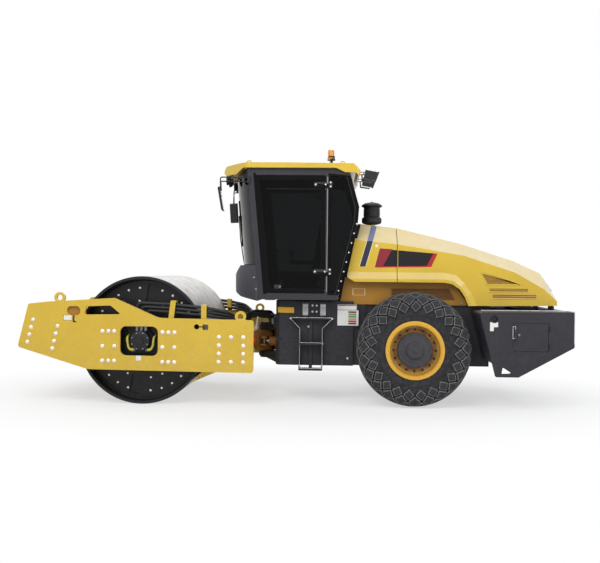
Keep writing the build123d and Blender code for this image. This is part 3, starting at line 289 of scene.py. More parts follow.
@dataclass(frozen=True)
class MetalFinish:
    """Bare or plated metal, with fine marks drawn out along the directions that stretch leaves coarse."""

    name: str
    colour: str
    stain: str
    roughness: Pair = (0.28, 0.45)
    stretch: Point = (1, 1, 1)
    grain_mm: float = 6.0           # drawn coarser than the real marks, so that it shows
    depth_mm: float = 0.1
    stain_mm: float = 250.0
    stain_amount: float = 0.5

    def build(self) -> bpy.types.Material:
        """Makes the material."""
        f = FinishTree(self.name)
        grain = f.noise(self.grain_mm, 3, self.stretch)
        blotch = f.between(f.noise(self.stain_mm, 5, rough=0.6), (0.42, 0.7), (0.0, self.stain_amount))
        f.set(Metallic=1.0, Base_Color=f.mixed(blotch, srgb(self.colour), srgb(self.stain)),
              Roughness=f.between(grain, (0.3, 0.7), self.roughness),
              Normal=f.bumped(grain, self.depth_mm, 0.5))
        return f.material


@dataclass(frozen=True)
class RolledFinish:
    """Drum: a rolling face of worn bare steel, and black enamel on everything inside it."""

    name: str
    steel: str
    stain: str
    enamel: str
    centre: Pair                    # axle in side view, in metres
    face_radius: float              # where the rolling face begins
    mark_mm: float = 22.0           # scores run round the drum; the real ones are finer

    def build(self) -> bpy.types.Material:
        """Makes the material."""
        f = FinishTree(self.name)
        away = f.from_axle(self.centre)
        face = f.between(away, (self.face_radius - 0.001, self.face_radius), (0.0, 1.0))
        score = f.noise(self.mark_mm, 5, (0.12, 1.0, 0.12), 0.7)
        blotch = f.between(f.noise(160, 6, rough=0.7), (0.38, 0.68), (0.0, 0.85))
        metal = f.mixed(f.between(score, (0.35, 0.65), (0.0, 0.5)), srgb(self.steel), srgb(self.stain))
        metal = f.mixed(blotch, metal, srgb(self.stain))
        f.set(Base_Color=f.mixed(face, srgb(self.enamel), metal), Metallic=f.times(face, 0.85),
              Roughness=f.between(score, (0.3, 0.7), (0.38, 0.56)), Specular_IOR_Level=0.3,
              Normal=f.bumped(score, 0.4, 0.5))
        return f.material


@dataclass(frozen=True)
class RimFinish:
    """Yellow wheel rim: clean enamel on the flange, darkening in patches towards the hub as painted shade of
    the dish.
    """

    name: str
    colour: str
    # colour of the painted shade in the dish
    grime: str
    centre: Pair                    # axle in side view, in metres
    clean_radius: float
    grimy_radius: float

    def build(self) -> bpy.types.Material:
        """Makes the material."""
        f = FinishTree(self.name)
        away = f.from_axle(self.centre)
        inward = f.between(away, (self.grimy_radius, self.clean_radius), (1.0, 0.0))
        patch = f.between(f.noise(70, 5, rough=0.65), (0.35, 0.65), (0.75, 1.0))
        share = f.times(inward, patch)
        f.set(Base_Color=f.mixed(share, srgb(self.colour), srgb(self.grime)),
              Roughness=f.between(share, (0.0, 1.0), (0.32, 0.62)), Specular_IOR_Level=0.3, Coat_Weight=0.15,
              Normal=f.bumped(f.noise(12, 2), 0.05, 0.25))
        return f.material


@dataclass(frozen=True)
class TreadFinish:
    """Tread blocks: black rubber, scuffed pale along the edges that the block's own attribute marks."""

    name: str
    colour: str
    scuffed: str
    attribute: str = "wear"
    speck_mm: float = 14.0

    def build(self) -> bpy.types.Material:
        """Makes the material."""
        f = FinishTree(self.name)
        edge = f.add("ShaderNodeAttribute", {"attribute_name": self.attribute}).outputs["Fac"]
        speck = f.between(f.noise(self.speck_mm, 5, rough=0.7), (0.38, 0.66), (0.25, 1.0))
        share = f.times(f.between(edge, (0.25, 1.0), (0.04, 0.9)), speck)
        grain = f.noise(6.0, 3)
        f.set(Base_Color=f.mixed(share, srgb(self.colour), srgb(self.scuffed)), Roughness=0.86,
              Specular_IOR_Level=0.2, Normal=f.bumped(grain, 0.5, 0.5))
        return f.material


@dataclass(frozen=True)
class MouldedFinish:
    """Moulded rubber or plastic: matt, finely grained and a little greyer where dust settles."""

    name: str
    colour: str
    bloom: str
    roughness: float = 0.6
    grain_mm: float = 2.5           # mould grain, drawn coarse enough to show
    bloom_mm: float = 120.0
    bloom_amount: float = 0.5
    depth_mm: float = 0.15
    specular: float = 0.4

    def build(self) -> bpy.types.Material:
        """Makes the material."""
        f = FinishTree(self.name)
        dusty = f.between(f.noise(self.bloom_mm, 6, rough=0.62), (0.4, 0.7), (0.0, self.bloom_amount))
        grain = f.noise(self.grain_mm, 2)
        f.set(Base_Color=f.mixed(dusty, srgb(self.colour), srgb(self.bloom)),
              Roughness=f.between(grain, (0.3, 0.7), (self.roughness - 0.06, self.roughness + 0.1)),
              Specular_IOR_Level=self.specular, Normal=f.bumped(grain, self.depth_mm, 0.4))
        return f.material


@dataclass(frozen=True)
class GlassFinish:
    """Tinted safety glass: clear gloss over a dark tint."""

    name: str
    colour: str
    transmission: float = 1.0
    roughness: float = 0.02
    ior: float = 1.45
    specular: float = 0.5

    def build(self) -> bpy.types.Material:
        """Makes the material."""
        f = FinishTree(self.name)
        film = f.between(f.noise(300, 4), (0.4, 0.7), (self.roughness, self.roughness + 0.05))
        f.set(Base_Color=srgb(self.colour), Transmission_Weight=self.transmission, Roughness=film,
              IOR=self.ior, Specular_IOR_Level=self.specular)
        return f.material


@dataclass(frozen=True)
class ClothFinish:
    """Woven seat cloth: crossed threads with a soft sheen."""

    name: str
    warp: str
    weft: str
    thread_mm: float = 4.0          # real threads are about 1 mm, drawn coarser to show

    def build(self) -> bpy.types.Material:
        """Makes the material."""
        f = FinishTree(self.name)
        inputs = {"Vector": f.place, "Scale": 1000 / self.thread_mm / 6.28}
        across, along = (f.add("ShaderNodeTexWave", {"bands_direction": way}, inputs).outputs["Fac"]
                         for way in ("Y", "Z"))
        weave = f.times(across, along)
        f.set(Base_Color=f.mixed(weave, srgb(self.warp), srgb(self.weft)), Roughness=0.9,
              Sheen_Weight=0.3, Normal=f.bumped(weave, 0.6, 0.6))
        return f.material


class Finishes:
    """Every finish of the machine, built once and kept by name."""

    LIST = (
        # polyester enamel, sprayed: warm yellow, glossy
        PaintFinish("enamel_yellow", "#d4b23c", "#c8a433", film_amount=0.3),
        # the same enamel on bent panels, with a strong painted sky reflection on faces that look up
        PaintFinish("enamel_yellow_panel", "#d8b63c", "#cca931", roughness=0.26, coat=0.3, dust_amount=0.1,
                    film="#efe4c6", film_amount=0.85),
        # the same enamel, darkened: painted shade for the bay, recesses and shaded brackets, with road dust
        # low down
        PaintFinish("enamel_yellow_shade", "#ad7c2c", "#8f6424", roughness=0.5, coat=0.05, dust="#6d5330"),
        # the same enamel, darkened further: painted deep shade between the frames and in the bay's grille,
        # with heavy road dust low down
        PaintFinish("enamel_yellow_grimy", "#8a5a1f", "#6a451b", roughness=0.6, coat=0.0, dust="#5a4630",
                    dust_amount=0.7),
        # the same enamel on the rims, with painted shade in the dish
        RimFinish("enamel_rim", "#dca83a", "#643f16", WHEEL_AXLE, 0.335, 0.27),
        # two-pack enamel, satin charcoal, on the frame
        PaintFinish("enamel_charcoal", "#323136", "#28272b", roughness=0.45, coat=0.0, dust="#5d5955",
                    dust_amount=0.3, film="#77757a", film_amount=0.4, specular=0.2),
        # the same charcoal on the ballast box, bleached a little
        PaintFinish("enamel_ballast", "#35343a", "#2e2d32", roughness=0.42, coat=0.0, dust="#5d5955",
                    dust_amount=0.25, film="#77757a", film_amount=0.4, specular=0.2),
        # the same charcoal on the cab
        PaintFinish("enamel_cab", "#36363b", "#2e2e33", roughness=0.36, coat=0.1, dust_amount=0.1,
                    film="#77757a", film_amount=0.4, specular=0.2),
        # grain-moulded cover over the cab's foot, a shade lighter
        PaintFinish("enamel_cover", "#47464b", "#3f3e43", roughness=0.45, coat=0.0, dust_amount=0.1,
                    film="#77757a", film_amount=0.3, specular=0.25),
        # light grey enamel on plates and strips
        PaintFinish("enamel_pale", "#b4b4b6", "#9c9c9f", roughness=0.4, coat=0.1, dust="#77726a",
                    dust_amount=0.2),
        # black enamel on castings, satin and slightly uneven
        PaintFinish("enamel_black", "#1c1c1f", "#151517", roughness=0.42, coat=0.1, dust="#4d4944",
                    dust_amount=0.35, peel_mm=6.0, film="#55534f", film_amount=0.3, specular=0.25),
        # planetary hub, grey enamel over a casting
        PaintFinish("enamel_hub", "#3c3c41", "#323136", roughness=0.45, coat=0.05, dust="#5f5b55",
                    dust_amount=0.3, peel_mm=6.0, specular=0.25),
        # rolled steel, worn by the ground, with black enamel inside it
        RolledFinish("steel_drum", "#b4b3b1", "#7a7774", "#1a1a1d", DRUM_AXLE, 0.7985),
        # zinc-plated bolts
        MetalFinish("steel_zinc", "#efe3dc", "#cfc2b6", (0.35, 0.5), stain_mm=60.0),
        # hard chrome, darkened and browned as painted shade of the hinge's gap, with stains
        MetalFinish("chrome_rod", "#6e655a", "#4b4036", (0.2, 0.35), stain_amount=0.6),
        # cast or stamped brackets, plain zinc, duller
        MetalFinish("steel_bracket", "#8d8e92", "#6f7074", (0.4, 0.55)),
        # steel worn bright along handled edges
        MetalFinish("steel_worn", "#c9c9cb", "#8e8e92", (0.35, 0.5), stain_mm=40.0, stain_amount=0.8),
        # natural-rubber carcass with dried dust
        MouldedFinish("rubber_tyre", "#2a2a2d", "#464648", 0.82, 5.0, 50.0, 0.7, 0.6, 0.25),
        # tread blocks, scuffed paler along their edges
        TreadFinish("rubber_tread", "#303033", "#a09e9b"),
        # rubber hose cover, smooth and black
        MouldedFinish("rubber_hose", "#161618", "#2c2b2a", 0.5, 3.0, 150.0, 0.3),
        # extruded rubber gasket
        MouldedFinish("rubber_seal", "#0d0d0e", "#1a1a1a", 0.55, 2.0, 150.0, 0.3, specular=0.2),
        # thermoplastic hose sleeve, yellow-green
        MouldedFinish("hose_olive", "#c6bd4a", "#958d34", 0.45, 3.0, 100.0, 0.4),
        # glass-filled nylon and ABS, moulded, fine grain
        MouldedFinish("plastic_black", "#1c1d20", "#292a2b", 0.48, 1.8, 200.0, 0.25, specular=0.3),
        MouldedFinish("plastic_trim", "#2a2b2f", "#363636", 0.55, 2.5, 200.0, 0.3, specular=0.3),
        # perforated sheet in the machine's yellow, darkened as painted shade of its recess, with darker
        # blotches
        MouldedFinish("mesh_yellow", "#b98c2e", "#8c6722", 0.5, 9.0, 30.0, 0.7, 0.8),
        # tinted safety glass; its low index stands for an unlit surround
        GlassFinish("glass_tinted", "#474b4c", ior=1.2, specular=0.05),
        # the same on the windscreen, which is seen edge on and would mirror the studio
        GlassFinish("glass_screen", "#34383a", ior=1.2, specular=0.0),
        # ceramic frit, printed black round the panes
        MouldedFinish("glass_frit", "#070708", "#0b0b0c", 0.12, 40.0, 300.0, 0.2, 0.0, 0.12),
        # clear polycarbonate of the work lamps, and tinted acrylic of beacon and tail lamps
        GlassFinish("glass_lamp", "#e8ecec", 0.9, 0.05),
        GlassFinish("lens_amber", "#f3a94f", 0.45, 0.12),
        GlassFinish("lens_red", "#c3201d", 0.4, 0.15),
        # silvered mirror glass
        MetalFinish("mirror_face", "#8e9195", "#7e8185", (0.02, 0.04), stain_amount=0.1),
        # woven polyester, flat and soft
        ClothFinish("seat_cloth", "#2b2c30", "#45464b"),
        # printed vinyl films, smooth and satin
        PaintFinish("vinyl_navy", "#2a2e44", "#24283c", roughness=0.35, dust_amount=0.05),
        # the same navy, paler: painted sky reflection where the stripe runs over the shoulder
        PaintFinish("vinyl_navy_pale", "#7d83a0", "#6d7391", roughness=0.3, dust_amount=0.05),
        PaintFinish("vinyl_pale", "#e6d9b4", "#dccfa8", roughness=0.35, dust_amount=0.05),
        PaintFinish("vinyl_charcoal", "#1f1a1e", "#1a1619", roughness=0.3, dust_amount=0.05, specular=0.2),
        PaintFinish("vinyl_red", "#b3262b", "#9f1f24", roughness=0.3, dust_amount=0.05),
        PaintFinish("vinyl_white", "#e4e2dd", "#d6d3cc", roughness=0.4, dust_amount=0.1),
        PaintFinish("vinyl_warning", "#dfae22", "#d2a01a", roughness=0.4, dust_amount=0.1),
        PaintFinish("vinyl_crimson", "#8c2430", "#7c1d29", roughness=0.4, dust_amount=0.1),
        PaintFinish("vinyl_green", "#6f9a5b", "#628a50", roughness=0.4, dust_amount=0.1),
        PaintFinish("vinyl_teal", "#4f8f92", "#457f82", roughness=0.4, dust_amount=0.1),
        PaintFinish("vinyl_ochre", "#c79a3e", "#b68b35", roughness=0.4, dust_amount=0.1),
        # signal-red and grey machine enamel
        PaintFinish("enamel_red", "#c33224", "#a92a1f", roughness=0.35),
        PaintFinish("enamel_engine", "#5d6164", "#4c5053", roughness=0.45, coat=0.1),
    )

    def __init__(self) -> None:
        """Builds every finish."""
        self.made = {finish.name: finish.build() for finish in self.LIST}

    def __getitem__(self, name: str) -> bpy.types.Material:
        """The material of that name."""
        return self.made[name]

    def dress(self, finish: str, nodes: Sequence[str]) -> None:
        """Gives construction nodes a finish.

        Args:
            finish: the finish's name.
            nodes: names of the nodes.
        """
        for name in nodes:
            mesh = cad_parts[name].data
            mesh.materials.clear()
            mesh.materials.append(self.made[finish])


# ---------------------------------------------------------------------------- stage
@dataclass
class Stage:
    """Pale floor, soft lamps and the camera beside the machine."""

    camera_place: Point = (-0.5436, 10.4578, 1.6647)
    camera_yaw: float = 2.77        # degrees towards the drum from square on
    camera_pitch: float = -0.67
    camera_roll: float = 0.6
    lens_mm: float = 45.6
    floor_colour: str = "#ffffff"
    shadow_reach: Pair = (5.2, 3.4)  # where the floor has turned white, in metres
    paleness: float = 0.55          # how white it is under the machine, where its shadow shows
    key_power: float = 470.0
    fill_power: float = 210.0
    rim_power: float = 260.0

    def direct_rays(self, tree: bpy.types.NodeTree) -> bpy.types.NodeSocket:
        """Tells rays of the camera, of mirrors and of glass from the light's own.

        Args:
            tree: the node tree that gets the nodes.

        Returns:
            1 for those rays and 0 for others.
        """
        rays = add_node(tree, "ShaderNodeLightPath").outputs
        seen = rays["Is Camera Ray"]
        for name in ("Is Glossy Ray", "Is Transmission Ray"):
            seen = add_node(tree, "ShaderNodeMath", {"operation": "MAXIMUM"}, {
                0: seen, 1: rays[name]}).outputs["Value"]
        return seen

    def build_floor(self) -> None:
        """A wide floor that keeps the machine's shadow and turns into the white surround further out."""
        f = FinishTree("floor_paper")
        f.set(Base_Color=srgb("#f4f4f4"), Roughness=0.9)
        seen = self.direct_rays(f.tree)
        # the machine's footprint, drawn in to a circle of radius 1
        squeezed = f.stretched((1 / self.shadow_reach[0], 1 / self.shadow_reach[1], 0))
        away = f.add("ShaderNodeVectorMath", {"operation": "LENGTH"}, {"Vector": squeezed}).outputs["Value"]
        fade = f.between(away, (0.55, 1.0), (self.paleness, 1.0))
        white = f.add("ShaderNodeEmission", inputs={"Color": srgb(self.floor_colour), "Strength": 1.0})
        mix = f.add("ShaderNodeMixShader", inputs={
            0: f.times(seen, fade), 1: f.shader.outputs["BSDF"], 2: white.outputs["Emission"]})
        f.tree.links.new(mix.outputs["Shader"], f.output.inputs["Surface"])
        mesh = bpy.data.meshes.new("floor")
        wide = 60.0
        mesh.from_pydata([(-wide, -wide, 0), (wide, -wide, 0), (wide, wide, 0), (-wide, wide, 0)], [],
                         [(0, 1, 2, 3)])
        mesh.materials.append(f.material)
        floor = bpy.data.objects.new("floor", mesh)
        bpy.context.scene.collection.objects.link(floor)

    def build_world(self) -> None:
        """A white surround that lights the machine softly."""
        world = bpy.data.worlds.new("studio")
        bpy.context.scene.world = world
        world.use_nodes = True
        tree = world.node_tree
        tree.nodes.clear()
        soft = add_node(tree, "ShaderNodeBackground", inputs={"Color": srgb("#eef2f8"), "Strength": 0.52})
        white = add_node(tree, "ShaderNodeBackground", inputs={"Color": srgb("#ffffff"), "Strength": 1.0})
        mix = add_node(tree, "ShaderNodeMixShader", inputs={
            0: self.direct_rays(tree), 1: soft.outputs["Background"], 2: white.outputs["Background"]})
        add_node(tree, "ShaderNodeOutputWorld", inputs={"Surface": mix.outputs["Shader"]})

    def add_lamp(self, name: str, place: Point, aim: Point, size: float, power: float) -> None:
        """Adds one square area lamp.

        Args:
            name: the lamp's name.
            place: where it stands.
            aim: the point that it faces.
            size: its side, in metres.
            power: its power, in watts.
        """
        lamp = bpy.data.lights.new(name, "AREA")
        lamp.size = size
        lamp.energy = power
        lamp_object = bpy.data.objects.new(name, lamp)
        lamp_object.location = place
        lamp_object.rotation_euler = (Vector(aim) - Vector(place)).to_track_quat("-Z", "Y").to_euler()
        bpy.context.scene.collection.objects.link(lamp_object)

    def build_lamps(self) -> None:
        """Large soft lamps above, beside and behind."""
        self.add_lamp("key", (2.5, 7.5, 7.5), (0, 0, 1.0), 5.0, self.key_power)
        self.add_lamp("fill", (-7.0, 5.0, 4.5), (0, 0, 1.2), 5.0, self.fill_power)
        self.add_lamp("back", (1.0, -8.0, 7.0), (0, 0, 1.2), 6.0, self.rim_power)

    def build_camera(self) -> None:
        """The camera, level with the hood, a little turned towards the drum."""
        yaw, pitch, roll = (math.radians(a) for a in (self.camera_yaw, self.camera_pitch, self.camera_roll))
        forward = Vector((math.sin(yaw), -math.cos(yaw), 0))
        right = Vector((-math.cos(yaw), -math.sin(yaw), 0))
        up = Vector((0, 0, 1))
        look = forward * math.cos(pitch) + up * math.sin(pitch)
        top = up * math.cos(pitch) - forward * math.sin(pitch)
        across = right * math.cos(roll) + top * math.sin(roll)
        over = top * math.cos(roll) - right * math.sin(roll)
        camera = bpy.data.objects.new("camera", bpy.data.cameras.new("camera"))
        camera.data.lens = self.lens_mm
        camera.data.sensor_width = 36.0
        axes = Matrix((across, over, -look)).transposed().to_4x4()
        camera.matrix_world = Matrix.Translation(self.camera_place) @ axes
        bpy.context.scene.collection.objects.link(camera)
        bpy.context.scene.camera = camera

    def build(self) -> None:
        """Builds the whole stage."""
        bpy.context.scene.view_settings.view_transform = "Standard"
        self.build_floor()
        self.build_world()
        self.build_lamps()
        self.build_camera()


# ---------------------------------------------------------------------------- building
class Axis(Enum):
    """The axis that an outline is swept along; the outline's own axes are the other two, in order."""

    X = 0
    Y = 1
    Z = 2

    def point(self, u: float, v: float, along: float) -> Vector:
        """The point at (u, v) in the outline's plane and at a place along the axis."""
        places = [u, v]
        places.insert(self.value, along)
        return Vector(places)


def at(x: float, y: float, z: float) -> Vector:
    """A place in the frame from millimetres: along the machine from the datum, across, and up."""
    return Vector((DATUM_X + x / 1000, y / 1000, z / 1000))


def reach(node: str) -> float:
    """How far a node reaches to the left from the machine's middle, in millimetres."""
    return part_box(node)[1].y * 1000


def rect(x0: float, z0: float, x1: float, z1: float, radius: float = 0.0) -> list[tuple]:
    """Corners of an upright rectangle in side view, as (x, z, radius)."""
    return [(x0, z0, radius), (x1, z0, radius), (x1, z1, radius), (x0, z1, radius)]


def flat(rows: Sequence[tuple]) -> list[tuple]:
    """Rows of (x, z, optional radius), in millimetres from the datum, as (x, z, radius) in frame metres."""
    return [(DATUM_X + row[0] / 1000, row[1] / 1000, (row[2] if len(row) > 2 else 0) / 1000) for row in rows]


def rounded(rows: Sequence[tuple], steps: int = 5) -> list[Pair]:
    """Outline with its corners rounded.

    Args:
        rows: corners as (u, v, radius).
        steps: points on each arc.

    Returns:
        The outline's points.
    """
    points: list[Pair] = []
    count = len(rows)
    for i, (u, v, radius) in enumerate(rows):
        corner = Vector((u, v))
        if radius <= 0:
            points.append((u, v))
            continue
        back = (Vector(rows[i - 1][:2]) - corner).normalized()
        ahead = (Vector(rows[(i + 1) % count][:2]) - corner).normalized()
        half = back.angle(ahead) / 2
        away = radius / math.tan(half)
        centre = corner + (back + ahead).normalized() * (radius / math.sin(half))
        first, last = corner + back * away - centre, corner + ahead * away - centre
        turn = math.atan2(first.x * last.y - first.y * last.x, first.dot(last))
        for step in range(steps + 1):
            angle = turn * step / steps
            spun = Vector((first.x * math.cos(angle) - first.y * math.sin(angle),
                           first.x * math.sin(angle) + first.y * math.cos(angle)))
            points.append(tuple(centre + spun))
    return points


def bent(points: Sequence[Vector], radius: float, steps: int = 6) -> list[Vector]:
    """A path in space with its corners rounded.

    Args:
        points: the path's corners.
        radius: bend radius, in metres.
        steps: points on each bend.

    Returns:
        The rounded path.
    """
    path = [points[0]]
    for before, corner, after in zip(points, points[1:], points[2:]):
        back, ahead = before - corner, after - corner
        half = back.angle(ahead) / 2
        away = min(radius / max(math.tan(half), 0.01), back.length * 0.48, ahead.length * 0.48)
        start, end = corner + back.normalized() * away, corner + ahead.normalized() * away
        for step in range(steps + 1):
            t = step / steps
            path.append(start * (1 - t) ** 2 + corner * (2 * t * (1 - t)) + end * t * t)
    path.append(points[-1])
    return path


def join_loops(part: bmesh.types.BMesh, loops: Sequence[Sequence[bmesh.types.BMVert]]) -> None:
    """Joins closed loops of vertices, each to the next, by a band of faces.

    Args:
        part: the mesh under construction.
        loops: the loops, all of one length; a pole is one vertex repeated.
    """
    for first, second in zip(loops, loops[1:]):
        for i in range(len(first)):
            j = (i + 1) % len(first)
            corners = list(dict.fromkeys((first[i], first[j], second[j], second[i])))
            if len(corners) > 2:
                part.faces.new(corners)


def linked(name: str, part: bmesh.types.BMesh, angle: float) -> bpy.types.Object:
    """Turns a mesh under construction into an object at the origin.

    Args:
        name: the object's name.
        part: the mesh, which is freed.
        angle: edges sharper than this many degrees stay sharp.

    Returns:
        The object.
    """
    mesh = bpy.data.meshes.new(name)
    part.to_mesh(mesh)
    part.free()
    mesh.polygons.foreach_set("use_smooth", [True] * len(mesh.polygons))
    mesh.set_sharp_from_angle(angle=math.radians(angle))
    made = bpy.data.objects.new(name, mesh)
    bpy.context.scene.collection.objects.link(made)
    return made


def prism(near: Sequence[Vector], far: Sequence[Vector]) -> bmesh.types.BMesh:
    """Starts a mesh with a closed solid between two faces.

    Args:
        near: corners of the first face.
        far: corners of the opposite face, in the same order.

    Returns:
        The mesh under construction.
    """
    part = bmesh.new()
    first, second = ([part.verts.new(p) for p in face] for face in (near, far))
    part.faces.new(first)
    part.faces.new(second[::-1])
    join_loops(part, [second, first])
    return part


class Shape:
    """Closed solids gathered into one mesh, in frame metres, each with its own finish.

    Each method that adds a solid returns the shape itself, so that calls can follow each other.
    """

    def __init__(self, finishes: Finishes) -> None:
        """Starts an empty shape dressed from the machine's finishes."""
        self.finishes = finishes
        self.mesh = bmesh.new()
        self.slots: list[str] = []

    def _take(self, part: bmesh.types.BMesh, finish: str) -> "Shape":
        """Turns a part's faces outwards and adds it.

        Args:
            part: the part, which is freed.
            finish: the finish's name.

        Returns:
            The shape itself.
        """
        bmesh.ops.recalc_face_normals(part, faces=part.faces[:])
        if finish not in self.slots:
            self.slots.append(finish)
        for face in part.faces:
            face.material_index = self.slots.index(finish)
        held = bpy.data.meshes.new("held")
        part.to_mesh(held)
        part.free()
        self.mesh.from_mesh(held)
        bpy.data.meshes.remove(held)
        return self

    def hull(self, near: Sequence[Vector], far: Sequence[Vector], finish: str) -> "Shape":
        """Adds a solid between two faces, given by their corners in the same order."""
        return self._take(prism(near, far), finish)

    def slab(self, rows: Sequence[tuple], axis: Axis, start: float, end: float, finish: str) -> "Shape":
        """Adds an outline swept along an axis.

        Args:
            rows: corners as (u, v, radius), in metres.
            axis: what the outline is swept along.
            start: where the sweep starts, on that axis.
            end: where it ends.
            finish: the finish's name.

        Returns:
            The shape itself.
        """
        outline = rounded(rows)
        near, far = ([axis.point(u, v, along) for u, v in outline] for along in (start, end))
        return self.hull(near, far, finish)

    def plate(self, rows: Sequence[tuple], side: Side, inner: float, outer: float, finish: str) -> "Shape":
        """Adds an outline in side view swept across from inner to outer, all in millimetres."""
        s = side.value
        return self.slab(flat(rows), Axis.Y, s * inner / 1000, s * outer / 1000, finish)

    def film(self, rows: Sequence[tuple], side: Side, plane: float, finish: str,
             thick: float = 1.5) -> "Shape":
        """Adds a thin sheet that stands out from a side's plane by thick, in millimetres."""
        return self.plate(rows, side, plane - 0.5, plane + thick, finish)

    def stud(self, spot: Pair, side: Side, inner: float, outer: float, radius: float, finish: str,
             segments: int, bevel: float) -> "Shape":
        """Adds a round bar across, at (x, z) and from inner to outer in millimetres, the rest as for rod."""
        start, end = (at(spot[0], side.value * y, spot[1]) for y in (inner, outer))
        return self.rod(start, end, radius, finish, segments, bevel)

    def frame(self, outer: Sequence[tuple], inner: Sequence[tuple], side: Side, start: float, end: float,
              finish: str) -> "Shape":
        """Adds a closed band between two outlines in side view with the same number of sharp corners.

        Args:
            outer: the outer outline's corners as (x, z), in millimetres from the datum.
            inner: the inner outline's corners, in the same order.
            side: the machine's side.
            start: how far one face lies from the machine's middle, in millimetres.
            end: how far the other face lies from it.
            finish: the finish's name.

        Returns:
            The shape itself.
        """
        part = bmesh.new()
        loops = [[part.verts.new(at(row[0], side.value * y, row[1])) for row in rows]
                 for y, rows in ((start, outer), (end, outer), (end, inner), (start, inner))]
        join_loops(part, loops + loops[:1])
        return self._take(part, finish)

    def box(self, first: Vector, second: Vector, finish: str) -> "Shape":
        """Adds a box between any two opposite corners."""
        low, high = Vector(map(min, first, second)), Vector(map(max, first, second))
        return self.slab(rect(low.x, low.y, high.x, high.y), Axis.Z, low.z, high.z, finish)

    def lathe(self, rows: Sequence[Pair], centre: Vector, axis: Axis, finish: str,
              segments: int = 48) -> "Shape":
        """Adds a turned solid.

        Args:
            rows: (place along the axis, radius) from one end to the other; where neither end lies
                on the axis, the outline is closed into a ring.
            centre: the point that the places are counted from.
            axis: the axis of revolution.
            finish: the finish's name.
            segments: facets round it.

        Returns:
            The shape itself.
        """
        part = bmesh.new()
        turns = [2 * math.pi * i / segments for i in range(segments)]
        loops = []
        for along, radius in rows:
            if radius <= 0:
                loops.append([part.verts.new(centre + axis.point(0, 0, along))] * segments)
                continue
            spots = [axis.point(radius * math.cos(t), radius * math.sin(t), along) for t in turns]
            loops.append([part.verts.new(centre + spot) for spot in spots])
        if rows[0][1] > 0 and rows[-1][1] > 0:
            loops.append(loops[0])
        join_loops(part, loops)
        return self._take(part, finish)

    def boss(self, rows: Sequence[Pair], centre: Vector, side: Side, finish: str, segments: int) -> "Shape":
        """Adds a turned solid whose places count outwards from a side; the rest as lathe takes it."""
        rows = [(side.value * along, radius) for along, radius in rows]
        return self.lathe(rows, centre, Axis.Y, finish, segments)

    def rod(self, start: Vector, end: Vector, radius: float, finish: str, segments: int = 20,
            bevel: float = 0.0) -> "Shape":
        """Adds a round bar between two points.

        Args:
            start: the middle of its first end.
            end: the middle of its other end.
            radius: its radius, in metres.
            finish: the finish's name.
            segments: facets round it.
            bevel: how far its ends are rounded.

        Returns:
            The shape itself.
        """
        turn = (end - start).to_track_quat("Z", "Y")
        turns = [2 * math.pi * i / segments for i in range(segments)]
        ring = [turn @ Vector((radius * math.cos(t), radius * math.sin(t), 0)) for t in turns]
        part = prism([start + p for p in ring], [end + p for p in ring])
        if bevel:
            part.normal_update()
            sharp = [edge for edge in part.edges if edge.calc_face_angle() > 0.5]
            bmesh.ops.bevel(part, geom=sharp, offset=bevel, segments=2, affect="EDGES", profile=0.6)
        return self._take(part, finish)

    def tube(self, path: Sequence[Vector], radius: float, finish: str, segments: int = 14) -> "Shape":
        """Adds a round tube along a path.

        Args:
            path: points of the centre line.
            radius: the tube's radius, in metres.
            finish: the finish's name.
            segments: facets round it.

        Returns:
            The shape itself.
        """
        part = bmesh.new()
        turns = [2 * math.pi * k / segments for k in range(segments)]
        loops = []
        tangent = (path[1] - path[0]).normalized()
        across = tangent.orthogonal().normalized()
        for i, point in enumerate(path):
            ahead = (path[min(i + 1, len(path) - 1)] - path[max(i - 1, 0)]).normalized()
            across = (tangent.rotation_difference(ahead) @ across).normalized()
            tangent = ahead
            other = tangent.cross(across)
            loops.append([part.verts.new(point + (across * math.cos(t) + other * math.sin(t)) * radius)
                          for t in turns])
        join_loops(part, loops)
        part.faces.new(loops[0][::-1])
        part.faces.new(loops[-1])
        return self._take(part, finish)

    def to_object(self, name: str) -> bpy.types.Object:
        """Turns the shape into an object at the origin, with its finishes as materials."""
        made = linked(name, self.mesh, 35)
        for slot in self.slots:
            made.data.materials.append(self.finishes[slot])
        return made

    def ride(self, name: str, body: str) -> bpy.types.Object:
        """Turns the shape into an object that moves with a body."""
        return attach(self.to_object(name), body)


